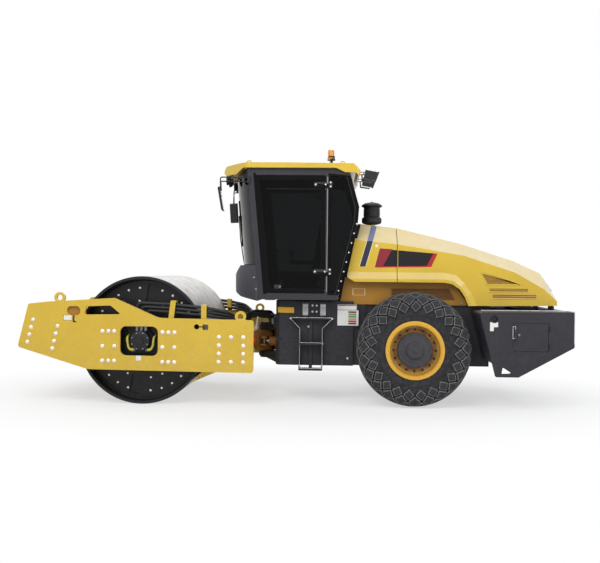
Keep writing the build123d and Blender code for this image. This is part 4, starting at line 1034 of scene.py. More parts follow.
def repeated(name: str, source: bpy.types.Object, places: Sequence[tuple], finish: bpy.types.Material,
             body: str, size: float = 1.0) -> bpy.types.Object:
    """Repeats a pattern over places with Geometry Nodes, and keeps the result as a plain mesh.

    Args:
        name: the piece's name.
        source: the pattern, built round the origin; it is removed afterwards.
        places: (place, Euler turn) of each copy.
        finish: the material of every copy.
        body: the body that the piece moves with.
        size: how large the copies are against the pattern.

    Returns:
        The piece.
    """
    points = bpy.data.meshes.new(name + "_points")
    points.from_pydata([tuple(place) for place, _ in places], [], [])
    turns = points.attributes.new("turn", "FLOAT_VECTOR", "POINT")
    turns.data.foreach_set("vector", [angle for _, turn in places for angle in turn])
    holder = bpy.data.objects.new(name, points)
    bpy.context.scene.collection.objects.link(holder)

    tree = bpy.data.node_groups.new(name, "GeometryNodeTree")
    tree.interface.new_socket("Geometry", in_out="INPUT", socket_type="NodeSocketGeometry")
    size_socket = tree.interface.new_socket("Size", in_out="INPUT", socket_type="NodeSocketFloat")
    tree.interface.new_socket("Geometry", in_out="OUTPUT", socket_type="NodeSocketGeometry")
    entry = add_node(tree, "NodeGroupInput")
    shape = add_node(tree, "GeometryNodeObjectInfo", inputs={"Object": source})
    turn = add_node(tree, "GeometryNodeInputNamedAttribute", {"data_type": "FLOAT_VECTOR"}, {"Name": "turn"})
    copies = add_node(tree, "GeometryNodeInstanceOnPoints", inputs={
        "Points": entry.outputs["Geometry"], "Instance": shape.outputs["Geometry"],
        "Rotation": turn.outputs["Attribute"], "Scale": entry.outputs["Size"]})
    real = add_node(tree, "GeometryNodeRealizeInstances", inputs={"Geometry": copies.outputs["Instances"]})
    painted = add_node(tree, "GeometryNodeSetMaterial", inputs={
        "Geometry": real.outputs["Geometry"], "Material": finish})
    add_node(tree, "NodeGroupOutput", inputs={"Geometry": painted.outputs["Geometry"]})
    modifier = holder.modifiers.new("repeat", "NODES")
    modifier.node_group = tree
    modifier[size_socket.identifier] = size

    bpy.context.view_layer.update()
    mesh = bpy.data.meshes.new_from_object(holder.evaluated_get(bpy.context.evaluated_depsgraph_get()))
    mesh.name = name
    holder.modifiers.clear()
    holder.data = mesh
    bpy.data.meshes.remove(points)
    bpy.data.objects.remove(source)
    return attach(holder, body)


def facing(side: Side) -> Euler:
    """The turn that points a pattern's +Z out of one of the machine's sides."""
    return Euler((-side.value * math.pi / 2, 0, 0))


def on_side(side: Side, y: float, spots: Iterable[Pair]) -> list[tuple]:
    """(place, Euler turn) of bolts on a side at a distance y, from their (x, z), in millimetres."""
    return [(at(x, side.value * y, z), facing(side)) for x, z in spots]


def around(side: Side, centre: Vector, y: float, radius: float, count: int, first: float = 0.5,
           gaps: Sequence[float] = (), gap_half: float = 0.0) -> list[tuple]:
    """Places of bolts on a ring on one of the machine's sides.

    Args:
        side: the machine's side.
        centre: the point of the ring's axis in the machine's middle plane.
        y: how far the ring lies from that plane, in metres.
        radius: the ring's radius.
        count: places round it, before any is left out.
        first: where the first one stands, in steps up from straight ahead.
        gaps: directions in which places are left out, in degrees up from straight ahead.
        gap_half: half the width of each gap, in degrees.

    Returns:
        (place, Euler turn) of each bolt.
    """
    places = []
    for i in range(count):
        t = 2 * math.pi * (i + first) / count
        if any(abs((math.degrees(t) - gap + 180) % 360 - 180) < gap_half for gap in gaps):
            continue
        spot = centre + Vector((radius * math.cos(t), side.value * y, radius * math.sin(t)))
        places.append((spot, facing(side)))
    return places


WASHER = [(-0.05, 0), (-0.05, 1), (0.15, 1), (0.15, 0)]
HEX_HEAD = [(0.12, 0), (0.12, 0.82), (0.6, 0.82), (0.7, 0.66), (0.7, 0)]
DOME = [(-0.05, 0), (-0.05, 1), (0.12, 1), (0.16, 0.94), (0.16, 0.8), (0.42, 0.8), (0.6, 0.64), (0.7, 0.36),
        (0.72, 0)]
HOLE = [(-0.0005, 0), (-0.0005, 1), (0.1, 1), (0.1, 0)]


@dataclass
class Assembly:
    """A sub-assembly of the machine, built from its finishes."""

    finishes: Finishes

    def shape(self) -> Shape:
        """A new empty shape."""
        return Shape(self.finishes)

    def bolts(self, name: str, places: Sequence[tuple], radius: float, body: str,
              finish: str = "steel_zinc", domed: bool = True) -> None:
        """Sets bolts on their washers over places.

        Args:
            name: the piece's name.
            places: (place, Euler turn) of each bolt.
            radius: the washers' radius, in metres.
            body: the body that they move with.
            finish: their finish.
            domed: round heads, and otherwise hexagons.
        """
        pattern = self.shape().lathe(DOME if domed else WASHER, Vector(), Axis.Z, finish, 18)
        if not domed:
            pattern.lathe(HEX_HEAD, Vector(), Axis.Z, finish, 6)
        repeated(name, pattern.to_object(name + "_pattern"), places, self.finishes[finish], body, radius)

    def holes(self, name: str, places: Sequence[tuple], radius: float, body: str) -> None:
        """Sets black discs over places, painted shade seen through the holes of a perforated sheet; arguments
        as bolts takes them.
        """
        pattern = self.shape().lathe(HOLE, Vector(), Axis.Z, "plastic_black", 8).to_object(name + "_pattern")
        repeated(name, pattern, places, self.finishes["plastic_black"], body, radius)

    def label(self, name: str, rows: Sequence[tuple], plane: float, side: Side, finish: str, body: str,
              edge: Optional[str] = None) -> None:
        """Lays a blank printed film or plate on an upright side.

        Args:
            name: the piece's name.
            rows: its outline in side view as (x, z, radius), in millimetres from the datum.
            plane: how far the surface lies from the middle, in millimetres.
            side: the machine's side.
            finish: the film's finish.
            body: the body that it moves with.
            edge: the finish of a 5 mm border under it, if it has one.
        """
        shape = self.shape()
        if edge:
            middle = Vector((sum(r[0] for r in rows), sum(r[1] for r in rows))) / len(rows)
            corners = [Vector(r[:2]) for r in rows]
            grown = [(*(p + (p - middle).normalized() * 7), r[2]) for p, r in zip(corners, rows)]
            shape.film(grown, side, plane, edge, 0.9)
        shape.film(rows, side, plane, finish)
        shape.ride(f"{name}_{side.word}", body)


# ---------------------------------------------------------------------------- front frame
@dataclass
class FrontFrame(Assembly):
    """Bolts, labels and motor fittings on the drum's frame; places in millimetres from the datum."""

    bolt_radius: float = 0.026
    # (x, z) of the first and last bolt of each leaning row
    nose_rows: tuple = (((2738, 1045), (2808, 769)), ((2428, 970), (2494, 692)))
    nose_count: int = 4
    # x of each upright row of bolts, and their heights
    columns: tuple = ((1864, (916, 731, 551)), (1788, (916, 551)), (1715, (916, 731, 551)),
                      (1115, (910, 726, 544)), (1040, (910, 544)), (965, (910, 726, 544)),
                      (415, (862, 759, 658, 556)), (265, (862, 556)), (114, (862, 759, 658, 556)))
    # (x, z) along each curved hose
    hose_turns: tuple = (((1572, 838), (1556, 735), (1538, 688), (1484, 690)),
                         ((1236, 838), (1246, 742), (1268, 690), (1316, 690)))
    eyes: tuple = ((2396, 1276), (145, 1076))       # (x, foot) of the lifting eyes
    plate_thick: float = 40

    def bolt_places(self, side: Side) -> list[tuple]:
        """Places of the bolts that hold cross-members and drum mounts to one side plate.

        Args:
            side: the machine's side.

        Returns:
            (place, Euler turn) of each bolt.
        """
        spots = []
        for (x0, z0), (x1, z1) in self.nose_rows:
            for i in range(self.nose_count):
                share = i / (self.nose_count - 1)
                spots.append((x0 + share * (x1 - x0), z0 + share * (z1 - z0)))
        for x, heights in self.columns:
            spots += [(x, z) for z in heights]
        return on_side(side, reach("side_plate_left"), spots)

    def build_motor(self, side: Side) -> None:
        """Motor cover, its flange bolts and the two curved hose ends seen in the window.

        Args:
            side: the machine's side.
        """
        s = side.value
        face = reach("drum_motors")
        shape = self.shape()
        cover = [(-0.03, 0), (0.02, 0), (0.02, 0.048), (0.008, 0.052), (0.008, 0.112), (0.004, 0.118),
                 (-0.03, 0.118)]
        shape.boss(cover, at(DRUM_X, s * face, DRUM_Z), side, "enamel_black", 40)
        y = s * (face - 40)
        for turns in self.hose_turns:
            start = at(turns[0][0], s * 1030, turns[0][1] + 20)
            shape.tube(bent([start] + [at(x, y, z) for x, z in turns], 0.05), 0.015, "hose_olive")
            (x, z), way = turns[-1], math.copysign(1, turns[-1][0] - DRUM_X)
            shape.rod(at(x + way * 4, y, z), at(x - way * 20, y, z), 0.024, "steel_bracket", 6)
            shape.rod(at(x + way * 34, y, z - 2), at(x + way * 4, y, z), 0.019, "hose_olive", 16, 0.002)
        shape.ride(f"motor_cover_{side.word}", "front_frame")
        ring = around(side, at(DRUM_X, 0, DRUM_Z), face / 1000 + 0.008, 0.104, 8)
        self.bolts(f"motor_bolts_{side.word}", ring, 0.009, "front_frame", "steel_bracket", False)

    def build_eye_welds(self, side: Side) -> None:
        """Weld beads where the lifting eyes meet the side plate.

        Args:
            side: the machine's side.
        """
        outer = reach("side_plate_left")
        shape = self.shape()
        for x, foot in self.eyes:
            for y in (outer - 4, outer - self.plate_thick + 4):
                bead = [at(x + d, side.value * y, foot + 4 + 6 * math.cos(d / 22))
                        for d in range(-62, 63, 14)]
                shape.tube(bead, 0.005, "enamel_yellow", 8)
        shape.ride(f"eye_welds_{side.word}", "front_frame")

    def build_labels(self, side: Side) -> None:
        """Blank plates, the mark beside the oval hole, and a plate in painted shade behind it.

        Args:
            side: the machine's side.
        """
        plane = reach("side_plate_left")
        self.label("plate_label", rect(1375, 560, 1441, 620, 4), plane, side, "vinyl_white", "front_frame")
        self.label("hole_label", rect(2248, 1048, 2352, 1108, 3), plane, side, "vinyl_white", "front_frame",
                   "plastic_trim")
        shape = self.shape()
        mark = [(2231, 1108), (2212, 1108), (2216, 1044), (2192, 1034), (2196, 1020), (2236, 1026)]
        shape.film(mark, side, plane, "plastic_black")
        inner = plane - self.plate_thick
        # a yellow plate in painted shade fills the view through the oval hole
        shape.plate(rect(2080, 1078, 2362, 1250, 20), side, inner, inner - 6, "enamel_yellow_shade")
        shape.ride(f"access_cover_{side.word}", "front_frame")

    def build(self) -> None:
        """Builds the front frame's pieces."""
        places: list[tuple] = []
        for side in Side:
            places += self.bolt_places(side)
            self.build_motor(side)
            self.build_eye_welds(side)
            self.build_labels(side)
        self.bolts("frame_bolts", places, self.bolt_radius, "front_frame")


# ---------------------------------------------------------------------------- drum
@dataclass
class Drum(Assembly):
    """Bolt rings and seams of the drum."""

    # name, radius, count and washer radius of the rings in the recessed heads, in metres
    rings: tuple = (("outer", 0.655, 28, 0.014), ("inner", 0.49, 20, 0.013))
    hub_ring: float = 0.165
    recess: float = 0.06
    pocket_angles: tuple = (10, 100, 190, 280)      # degrees up from straight ahead
    pocket_half: float = 9.0

    def build(self) -> None:
        """Builds the drum's pieces."""
        face = reach("drum_heads") / 1000
        floor = face - self.recess
        centre = at(DRUM_X, 0, DRUM_Z)
        for name, radius, count, washer in self.rings:
            places = [place for side in Side for place in
                      around(side, centre, floor, radius, count, 0.5, self.pocket_angles, self.pocket_half)]
            self.bolts(f"drum_{name}_bolts", places, washer, "drum", "steel_zinc", False)
        places = [place for side in Side for place in around(side, centre, face, self.hub_ring, 8)]
        self.bolts("drum_hub_bolts", places, 0.015, "drum", "steel_bracket", False)
        seam = [(-0.002, 0.764), (0.018, 0.764), (0.018, 0.757), (0.004, 0.744), (-0.002, 0.742)]
        shape = self.shape()
        for side in Side:
            shape.boss([(floor + out, radius) for out, radius in seam], centre, side, "enamel_black", 96)
        shape.ride("drum_seams", "drum")


# ---------------------------------------------------------------------------- wheels
@dataclass
class Wheel(Assembly):
    """Tyre with its block tread, wheel nuts and hub cover on one side; sizes in metres."""

    side: Side = Side.LEFT
    groove: float = 0.030
    pitches: int = 23
    rows: int = 4                   # rows of blocks on each side of the middle one
    row_step: float = 0.088         # from row to row along the tyre's section
    bulge: float = 2.6              # 2 is a round shoulder, more is squarer
    wall_radius: float = 0.545      # where the tyre is widest
    bead_radius: float = 0.36
    disc: float = 0.992             # outer face of the wheel's disc, from the machine's middle
    nut_count: int = 16
    nut_ring: float = 0.262
    collar_radius: float = 0.217    # dark collar round the hub cover

    @cached_property
    def tyre_size(self) -> Pair:
        """Half the tyre's width, and its radius."""
        low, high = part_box(f"tyre_{self.side.word}")
        return (high.y - low.y) / 2, (high.z - low.z) / 2

    @property
    def centre(self) -> Vector:
        """The wheel's middle, on the axle."""
        low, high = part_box(f"tyre_{self.side.word}")
        return (low + high) / 2

    @property
    def body(self) -> str:
        """The body that the wheel's pieces move with."""
        return f"wheel_{self.side.word}"

    def outer_face(self, node: str) -> float:
        """How far a node of this wheel lies from the machine's middle."""
        return max(abs(corner.y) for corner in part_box(f"{node}_{self.side.word}"))

    def section(self, share: float, sunk: float = 0.0) -> Pair:
        """A point of the tyre's outer section.

        Args:
            share: 0 at the crown's middle, 1 at the widest point and more below it, -1 at the other side's.
            sunk: how far below the blocks' tops it lies.

        Returns:
            Distance from the middle plane, and radius.
        """
        half, radius = self.tyre_size
        turn, power = share * math.pi / 2, 2 / self.bulge
        across = math.copysign((half - 0.001 - sunk) * abs(math.sin(turn)) ** power, share)
        rise = math.cos(turn)
        reach_up = radius - self.wall_radius - sunk if rise > 0 else self.wall_radius - self.bead_radius
        return across, self.wall_radius + math.copysign(reach_up * abs(rise) ** power, rise)

    def section_shares(self) -> Callable[[float], float]:
        """Measures the section once.

        Returns:
            The function from a length along the section to the share that section takes.
        """
        count, farthest = 400, 1.4
        spots = [Vector(self.section(farthest * i / count)) for i in range(count + 1)]
        lengths = [0.0]
        for a, b in zip(spots, spots[1:]):
            lengths.append(lengths[-1] + (b - a).length)

        def share(length: float) -> float:
            """The share at a signed length from the crown's middle."""
            index = bisect.bisect_left(lengths, abs(length))
            return math.copysign(farthest * min(index, count) / count, length)

        return share

    def build_carcass(self) -> None:
        """Carcass under the tread, with its shoulders, ribbed side walls and beads."""
        steps = 16
        crown = [self.section(1.1 * (1 - i / steps), self.groove) for i in range(steps)]
        wall = [(0.205, 0.33), (0.206, 0.356), (0.212, 0.37), (0.221, 0.41), (0.226, 0.438), (0.2325, 0.442),
                (0.2335, 0.449), (0.2275, 0.453), (0.2275, 0.475)]
        rows = wall + crown
        rows = rows + [self.section(0, self.groove)] + [(-a, r) for a, r in rows[::-1]]
        carcass = self.shape().lathe(rows, self.centre, Axis.Y, "rubber_tyre", 120)
        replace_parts(carcass.ride(f"tyre_body_{self.side.word}", self.body), f"tyre_{self.side.word}")

    def block_pattern(self, name: str, first: int) -> bpy.types.Object:
        """One pitch of tread: every second row of blocks, bent over the tyre's section.

        Args:
            name: the pattern's name.
            first: 0 for the middle row and every second row from it, 1 for the rows between.

        Returns:
            The pattern round the origin, with the axle along Y and the pitch at the top.
        """
        share = self.section_shares()
        quarter = [(0.40, 0.05), (0.25, 0.16), (0.16, 0.25), (0.05, 0.37)]
        outline = quarter + [(-u, v) for u, v in quarter[::-1]]
        outline += [(-u, -v) for u, v in outline]
        # size against the outline, depth below the top and wear, from the foot up
        loops = ((1.06, self.groove + 0.004, 0.0), (1.0, 0.006, 0.7), (0.95, 0.0005, 1.0), (0.87, 0.0, 0.75),
                 (0.78, 0.0, 0.1))
        pitch = 2 * math.pi / self.pitches
        part = bmesh.new()
        wear = part.verts.layers.float.new("wear")

        def corner(row: int, u: float, v: float, sunk: float, worn: float) -> bmesh.types.BMVert:
            """A vertex of a block; u runs round the wheel, v across the section, sunk below the top."""
            across, radius = self.section(share((row + v * 2) * self.row_step), sunk)
            turn = u * pitch
            vert = part.verts.new((radius * math.sin(turn), across, radius * math.cos(turn)))
            vert[wear] = worn
            return vert

        for row in range(-self.rows, self.rows + 1):
            if abs(row) % 2 != first:
                continue
            rings = [[corner(row, u * grow, v * grow, sunk, worn) for u, v in outline]
                     for grow, sunk, worn in loops]
            join_loops(part, rings)
            top = corner(row, 0, 0, 0, 0.1)
            foot = corner(row, 0, 0, self.groove + 0.006, 0.2)
            for i in range(len(outline)):
                j = (i + 1) % len(outline)
                part.faces.new((rings[-1][i], rings[-1][j], top))
                part.faces.new((rings[0][j], rings[0][i], foot))
        bmesh.ops.recalc_face_normals(part, faces=part.faces[:])
        return linked(name, part, 50)

    def build_tread(self) -> None:
        """Staggered diamond blocks over crown and shoulders."""
        pitch = 2 * math.pi / self.pitches
        for first, word in enumerate(("even", "odd")):
            places = [(self.centre, Euler((0, (i + first / 2) * pitch, 0))) for i in range(self.pitches)]
            name = f"tread_{word}_{self.side.word}"
            pattern = self.block_pattern(name + "_pattern", first)
            repeated(name, pattern, places, self.finishes["rubber_tread"], self.body)

    def build_nuts(self) -> None:
        """Ring of wheel nuts on studs, and the hub cover's bolts."""
        centre = Vector((self.centre.x, 0, self.centre.z))
        hub, step = self.outer_face("wheel_hub"), self.outer_face("wheel_hub") - 0.036
        nuts = around(self.side, centre, self.disc, self.nut_ring, self.nut_count, 0)
        covers = around(self.side, centre, hub, 0.08, 8) + around(self.side, centre, step, 0.2, 12)
        # the nuts are black: painted shade of the rim's dish
        self.bolts(f"wheel_nuts_{self.side.word}", nuts, 0.018, self.body, "plastic_black", False)
        self.bolts(f"hub_bolts_{self.side.word}", covers, 0.011, self.body, "enamel_hub", False)

    def build_trim(self) -> None:
        """Hub cap, dark collar, the bead on the rim's flange and the valve."""
        centre = Vector((self.centre.x, 0, self.centre.z))
        hub, rim = self.outer_face("wheel_hub"), self.outer_face("rim")
        disc, wide = self.disc, self.collar_radius
        shape = self.shape()
        cap = [(-0.004, 0.0), (-0.004, 0.03), (0.008, 0.03), (0.012, 0.02), (0.012, 0)]
        shape.boss([(hub + out, r) for out, r in cap], centre, self.side, "enamel_hub", 24)
        collar = [(disc - 0.004, 0.0), (disc - 0.004, wide + 0.004), (disc + 0.006, wide),
                  (hub - 0.044, wide), (hub - 0.036, wide - 0.008), (hub - 0.036, 0.0)]
        shape.boss(collar, centre, self.side, "enamel_hub", 72)
        bead = [(-0.004, 0.334), (0.002, 0.336), (0.002, 0.352), (-0.004, 0.354)]
        shape.boss([(rim + out, r) for out, r in bead], centre, self.side, "enamel_rim", 96)
        y = self.side.value
        valve = centre + Vector((0.288 * math.cos(0.9), y * (disc - 0.02), 0.288 * math.sin(0.9)))
        shape.rod(valve, valve + Vector((0, y * 0.05, 0)), 0.006, "plastic_black", 12)
        shape.ride(f"wheel_trim_{self.side.word}", self.body)

    def build(self) -> None:
        """Builds the wheel's pieces."""
        self.build_carcass()
        self.build_tread()
        self.build_nuts()
        self.build_trim()


# ---------------------------------------------------------------------------- rear frame
@dataclass
class RearFrame(Assembly):
    """Steps, labels, locks and ballast fittings of the rear frame; places in millimetres from the datum."""

    # x from and to, and top; the bars also have how far each stands out
    treads: tuple = ((-848, -550, 760), (-848, -550, 430))
    bars: tuple = ((-974, -430, 1083, 90), (-959, -520, 1290, 70))
    tooth: float = 24.0
    # how far bolts stand out from the frame, their stations and heights
    step_bolts: tuple = ((15, (-638, -604, -866, -832), (1240, 1134)), (10, (-712, -766), (1160, 1240)),
                         (90, (-970, -434), (1074,)), (86, (-554, -844), (751, 470)), (0, (-663,), (964,)),
                         (0, (-1170,), (560,)))
    colour_bars: tuple = (("vinyl_crimson", 1160), ("vinyl_green", 1129), ("vinyl_teal", 1100),
                          ("vinyl_ochre", 1070), ("vinyl_red", 1041), ("vinyl_crimson", 1012))
    lock: Pair = (-2931, 1129)
    key: Pair = (-3226, 939)
    tail_x: float = -3895

    def serrated(self, shape: Shape, tread: Sequence[float], side: Side, inner: float, outer: float) -> None:
        """Adds rows of raised grip teeth along a tread's long edges.

        Args:
            shape: the shape that gets them.
            tread: where the tread begins and ends, and its top.
            side: the machine's side.
            inner: how far its inner edge lies from the middle.
            outer: how far its outer edge lies from the middle.
        """
        x0, x1, z = tread
        count = int((x1 - x0) / self.tooth)
        pitch = (x1 - x0) / count
        rows = [(x0, z - 3)]
        for i in range(count):
            rows += [(x0 + (i + share) * pitch, z + rise)
                     for share, rise in ((0.12, 9), (0.55, 9), (0.7, 0), (0.97, 0))]
        rows.append((x1, z - 3))
        for y in (inner, outer):
            shape.plate(rows, side, y - 6, y, "enamel_charcoal")

    def build_steps(self, side: Side) -> None:
        """Grip teeth on treads and bars, end bolts and the pale hanger plates.

        Args:
            side: the machine's side.
        """
        root = reach("chassis_box")
        shape = self.shape()
        for tread in self.treads:
            self.serrated(shape, tread, side, root + 22, reach("steps"))
        for *bar, deep in self.bars:
            self.serrated(shape, bar, side, root + 12, root + deep)
        for x in (-620.5, -848.5):
            shape.plate(rect(x - 36, 1112, x + 36, 1262, 4), side, root + 12, root + 15, "enamel_pale")
        shape.plate(rect(-692, 1133, -786, 1272, 6), side, root, root + 10, "enamel_black")
        edge = side.value * (root + 86.5)
        for foot, top in ((-554, -434), (-844, -970)):
            worn = [at(foot, edge, 440), at(foot, edge, 947), at(top, edge, 1072)]
            shape.tube(worn, 0.0035, "steel_worn", 6)
        for half, z in ((268, 1086), (146, 762), (146, 432)):
            shape.rod(at(-702 - half, edge, z), at(-702 + half, edge, z), 0.004, "steel_worn", 8)
        shape.ride(f"step_grips_{side.word}", "rear_frame")
        places = [place for out, xs, zs in self.step_bolts
                  for place in on_side(side, root + out, itertools.product(xs, zs))]
        self.bolts(f"step_bolts_{side.word}", places, 0.013, "rear_frame", "steel_worn", False)

    def build_arch(self, side: Side) -> None:
        """The plate that carries the side on behind the tyre.

        Args:
            side: the machine's side.
        """
        rows = [(-1244, 470, 0), (-1400, 470, 30), (-1400, 1255, 0), (-1244, 1255, 0)]
        arch = self.shape().plate(rows, side, 545.5, 565, "enamel_charcoal")
        arch.ride(f"arch_plate_{side.word}", "rear_frame")

    def build_labels(self, side: Side) -> None:
        """Grip slot near the articulation, blank warning film, document plate and its colour bars.

        Args:
            side: the machine's side.
        """
        plane = reach("chassis_box")
        # a black film stands for the slot: painted shade of its opening
        slot = self.shape().film(rect(-326, 774, -246, 820, 22), side, plane, "enamel_black", 2.0)
        slot.ride(f"grip_slot_{side.word}", "rear_frame")
        warning = [(-472, 1140, 6), (-262, 1144, 6), (-262, 1216, 6), (-472, 1212, 6)]
        self.label("warning", warning, plane, side, "vinyl_warning", "rear_frame", "plastic_black")
        shape = self.shape()
        carrier = [(-1230, 975, 6), (-1314, 975, 10), (-1314, 1262, 10), (-1230, 1262, 6)]
        shape.plate(carrier, side, plane - 12, plane, "enamel_charcoal")
        for sheet in (rect(-1036, 1190, -1282, 1256, 4), rect(-1036, 985, -1308, 1184, 4)):
            shape.film(sheet, side, plane, "vinyl_white")
        shape.plate(rect(-1042, 1240, -1276, 1251), side, plane, plane + 2.5, "vinyl_crimson")
        for finish, z in self.colour_bars:
            shape.plate(rect(-1176, z - 11, -1280, z + 11, 2), side, plane, plane + 2.5, finish)
        shape.ride(f"document_plate_{side.word}", "rear_frame")
        self.label("bay_label", rect(-1236, 1384, -1384, 1462, 3), 572, side, "enamel_yellow_shade",
                   "rear_frame", "vinyl_pale")

    def build_box(self, side: Side) -> None:
        """Filler cap, lock, label, worn edges, pull and hinges of the ballast box.

        Args:
            side: the machine's side.
        """
        s = side.value
        plane = reach("rear_box")
        shape = self.shape()
        ring = [(-0.001, 0.05), (0.004, 0.05), (0.006, 0.038), (0.004, 0.034), (-0.012, 0.036),
                (-0.012, 0.042)]
        shape.boss(ring, at(self.lock[0], s * plane, self.lock[1]), side, "enamel_black", 32)
        shape.stud(self.lock, side, plane - 28, plane - 8, 0.032, "plastic_black", 24, 0.003)
        shape.stud(self.key, side, plane - 3, plane + 6, 0.014, "steel_bracket", 20, 0.002)
        x, z = self.key
        shape.box(at(x - 3, s * (plane + 5.5), z - 5), at(x + 3, s * (plane + 6.5), z + 5), "plastic_black")
        shape.ride(f"box_fittings_{side.word}", "rear_frame")
        sheet = [(-2878, 982, 3), (-2922, 982, 3), (-2924, 1030, 0), (-2974, 1031, 3), (-2974, 1089, 3),
                 (-2878, 1089, 3)]
        self.label("box_label", sheet, plane, side, "vinyl_white", "rear_frame")
        edge = self.shape()
        y = s * (plane - 2)
        edge.rod(at(-2766, y, 1232), at(-3880, y, 1236), 0.004, "steel_worn", 8)
        edge.rod(at(-3884, y, 1230), at(-3884, y, 836), 0.004, "steel_worn", 8)
        edge.ride(f"box_edge_{side.word}", "rear_frame")
        pull = self.shape().frame(rect(-3148, 892, -3186, 1044), rect(-3155, 899, -3179, 1037), side,
                                  plane - 2, plane + 8, "steel_worn")
        pull.ride(f"box_pull_{side.word}", "rear_frame")
        hinges = self.shape()
        y = s * (plane + 4)
        for z in (800, 1020):
            hinges.rod(at(-3592, y, z - 34), at(-3592, y, z + 34), 0.009, "enamel_charcoal", 16, 0.002)
        hinges.ride(f"box_hinges_{side.word}", "rear_frame")

    def build_tail(self) -> None:
        """Rear lamps, reflectors and the towing plate at the machine's rear end."""
        x = self.tail_x
        shape = self.shape()
        for s in (side.value for side in Side):
            shape.box(at(x - 4, s * 940, 1080), at(x + 8, s * 1120, 1160), "plastic_black")
            for y, finish in ((952, "lens_red"), (1006, "lens_amber"), (1060, "lens_red")):
                shape.box(at(x - 9, s * y, 1090), at(x - 2, s * (y + 48), 1150), finish)
            shape.box(at(x - 6, s * 960, 1020), at(x + 1, s * 1060, 1050), "lens_red")
        shape.box(at(x - 8, -90, 860), at(x + 1, 90, 1010), "enamel_charcoal")
        shape.ride("tail_fittings", "rear_frame")

    def build(self) -> None:
        """Builds the rear frame's pieces."""
        for side in Side:
            self.build_steps(side)
            self.build_labels(side)
            self.build_arch(side)
            self.build_box(side)
        self.build_tail()
        places = [place for side in Side for place in on_side(side, 572, [(-2631, 1290)])]
        self.bolts("bay_bolts", places, 0.016, "rear_frame", "steel_bracket", False)


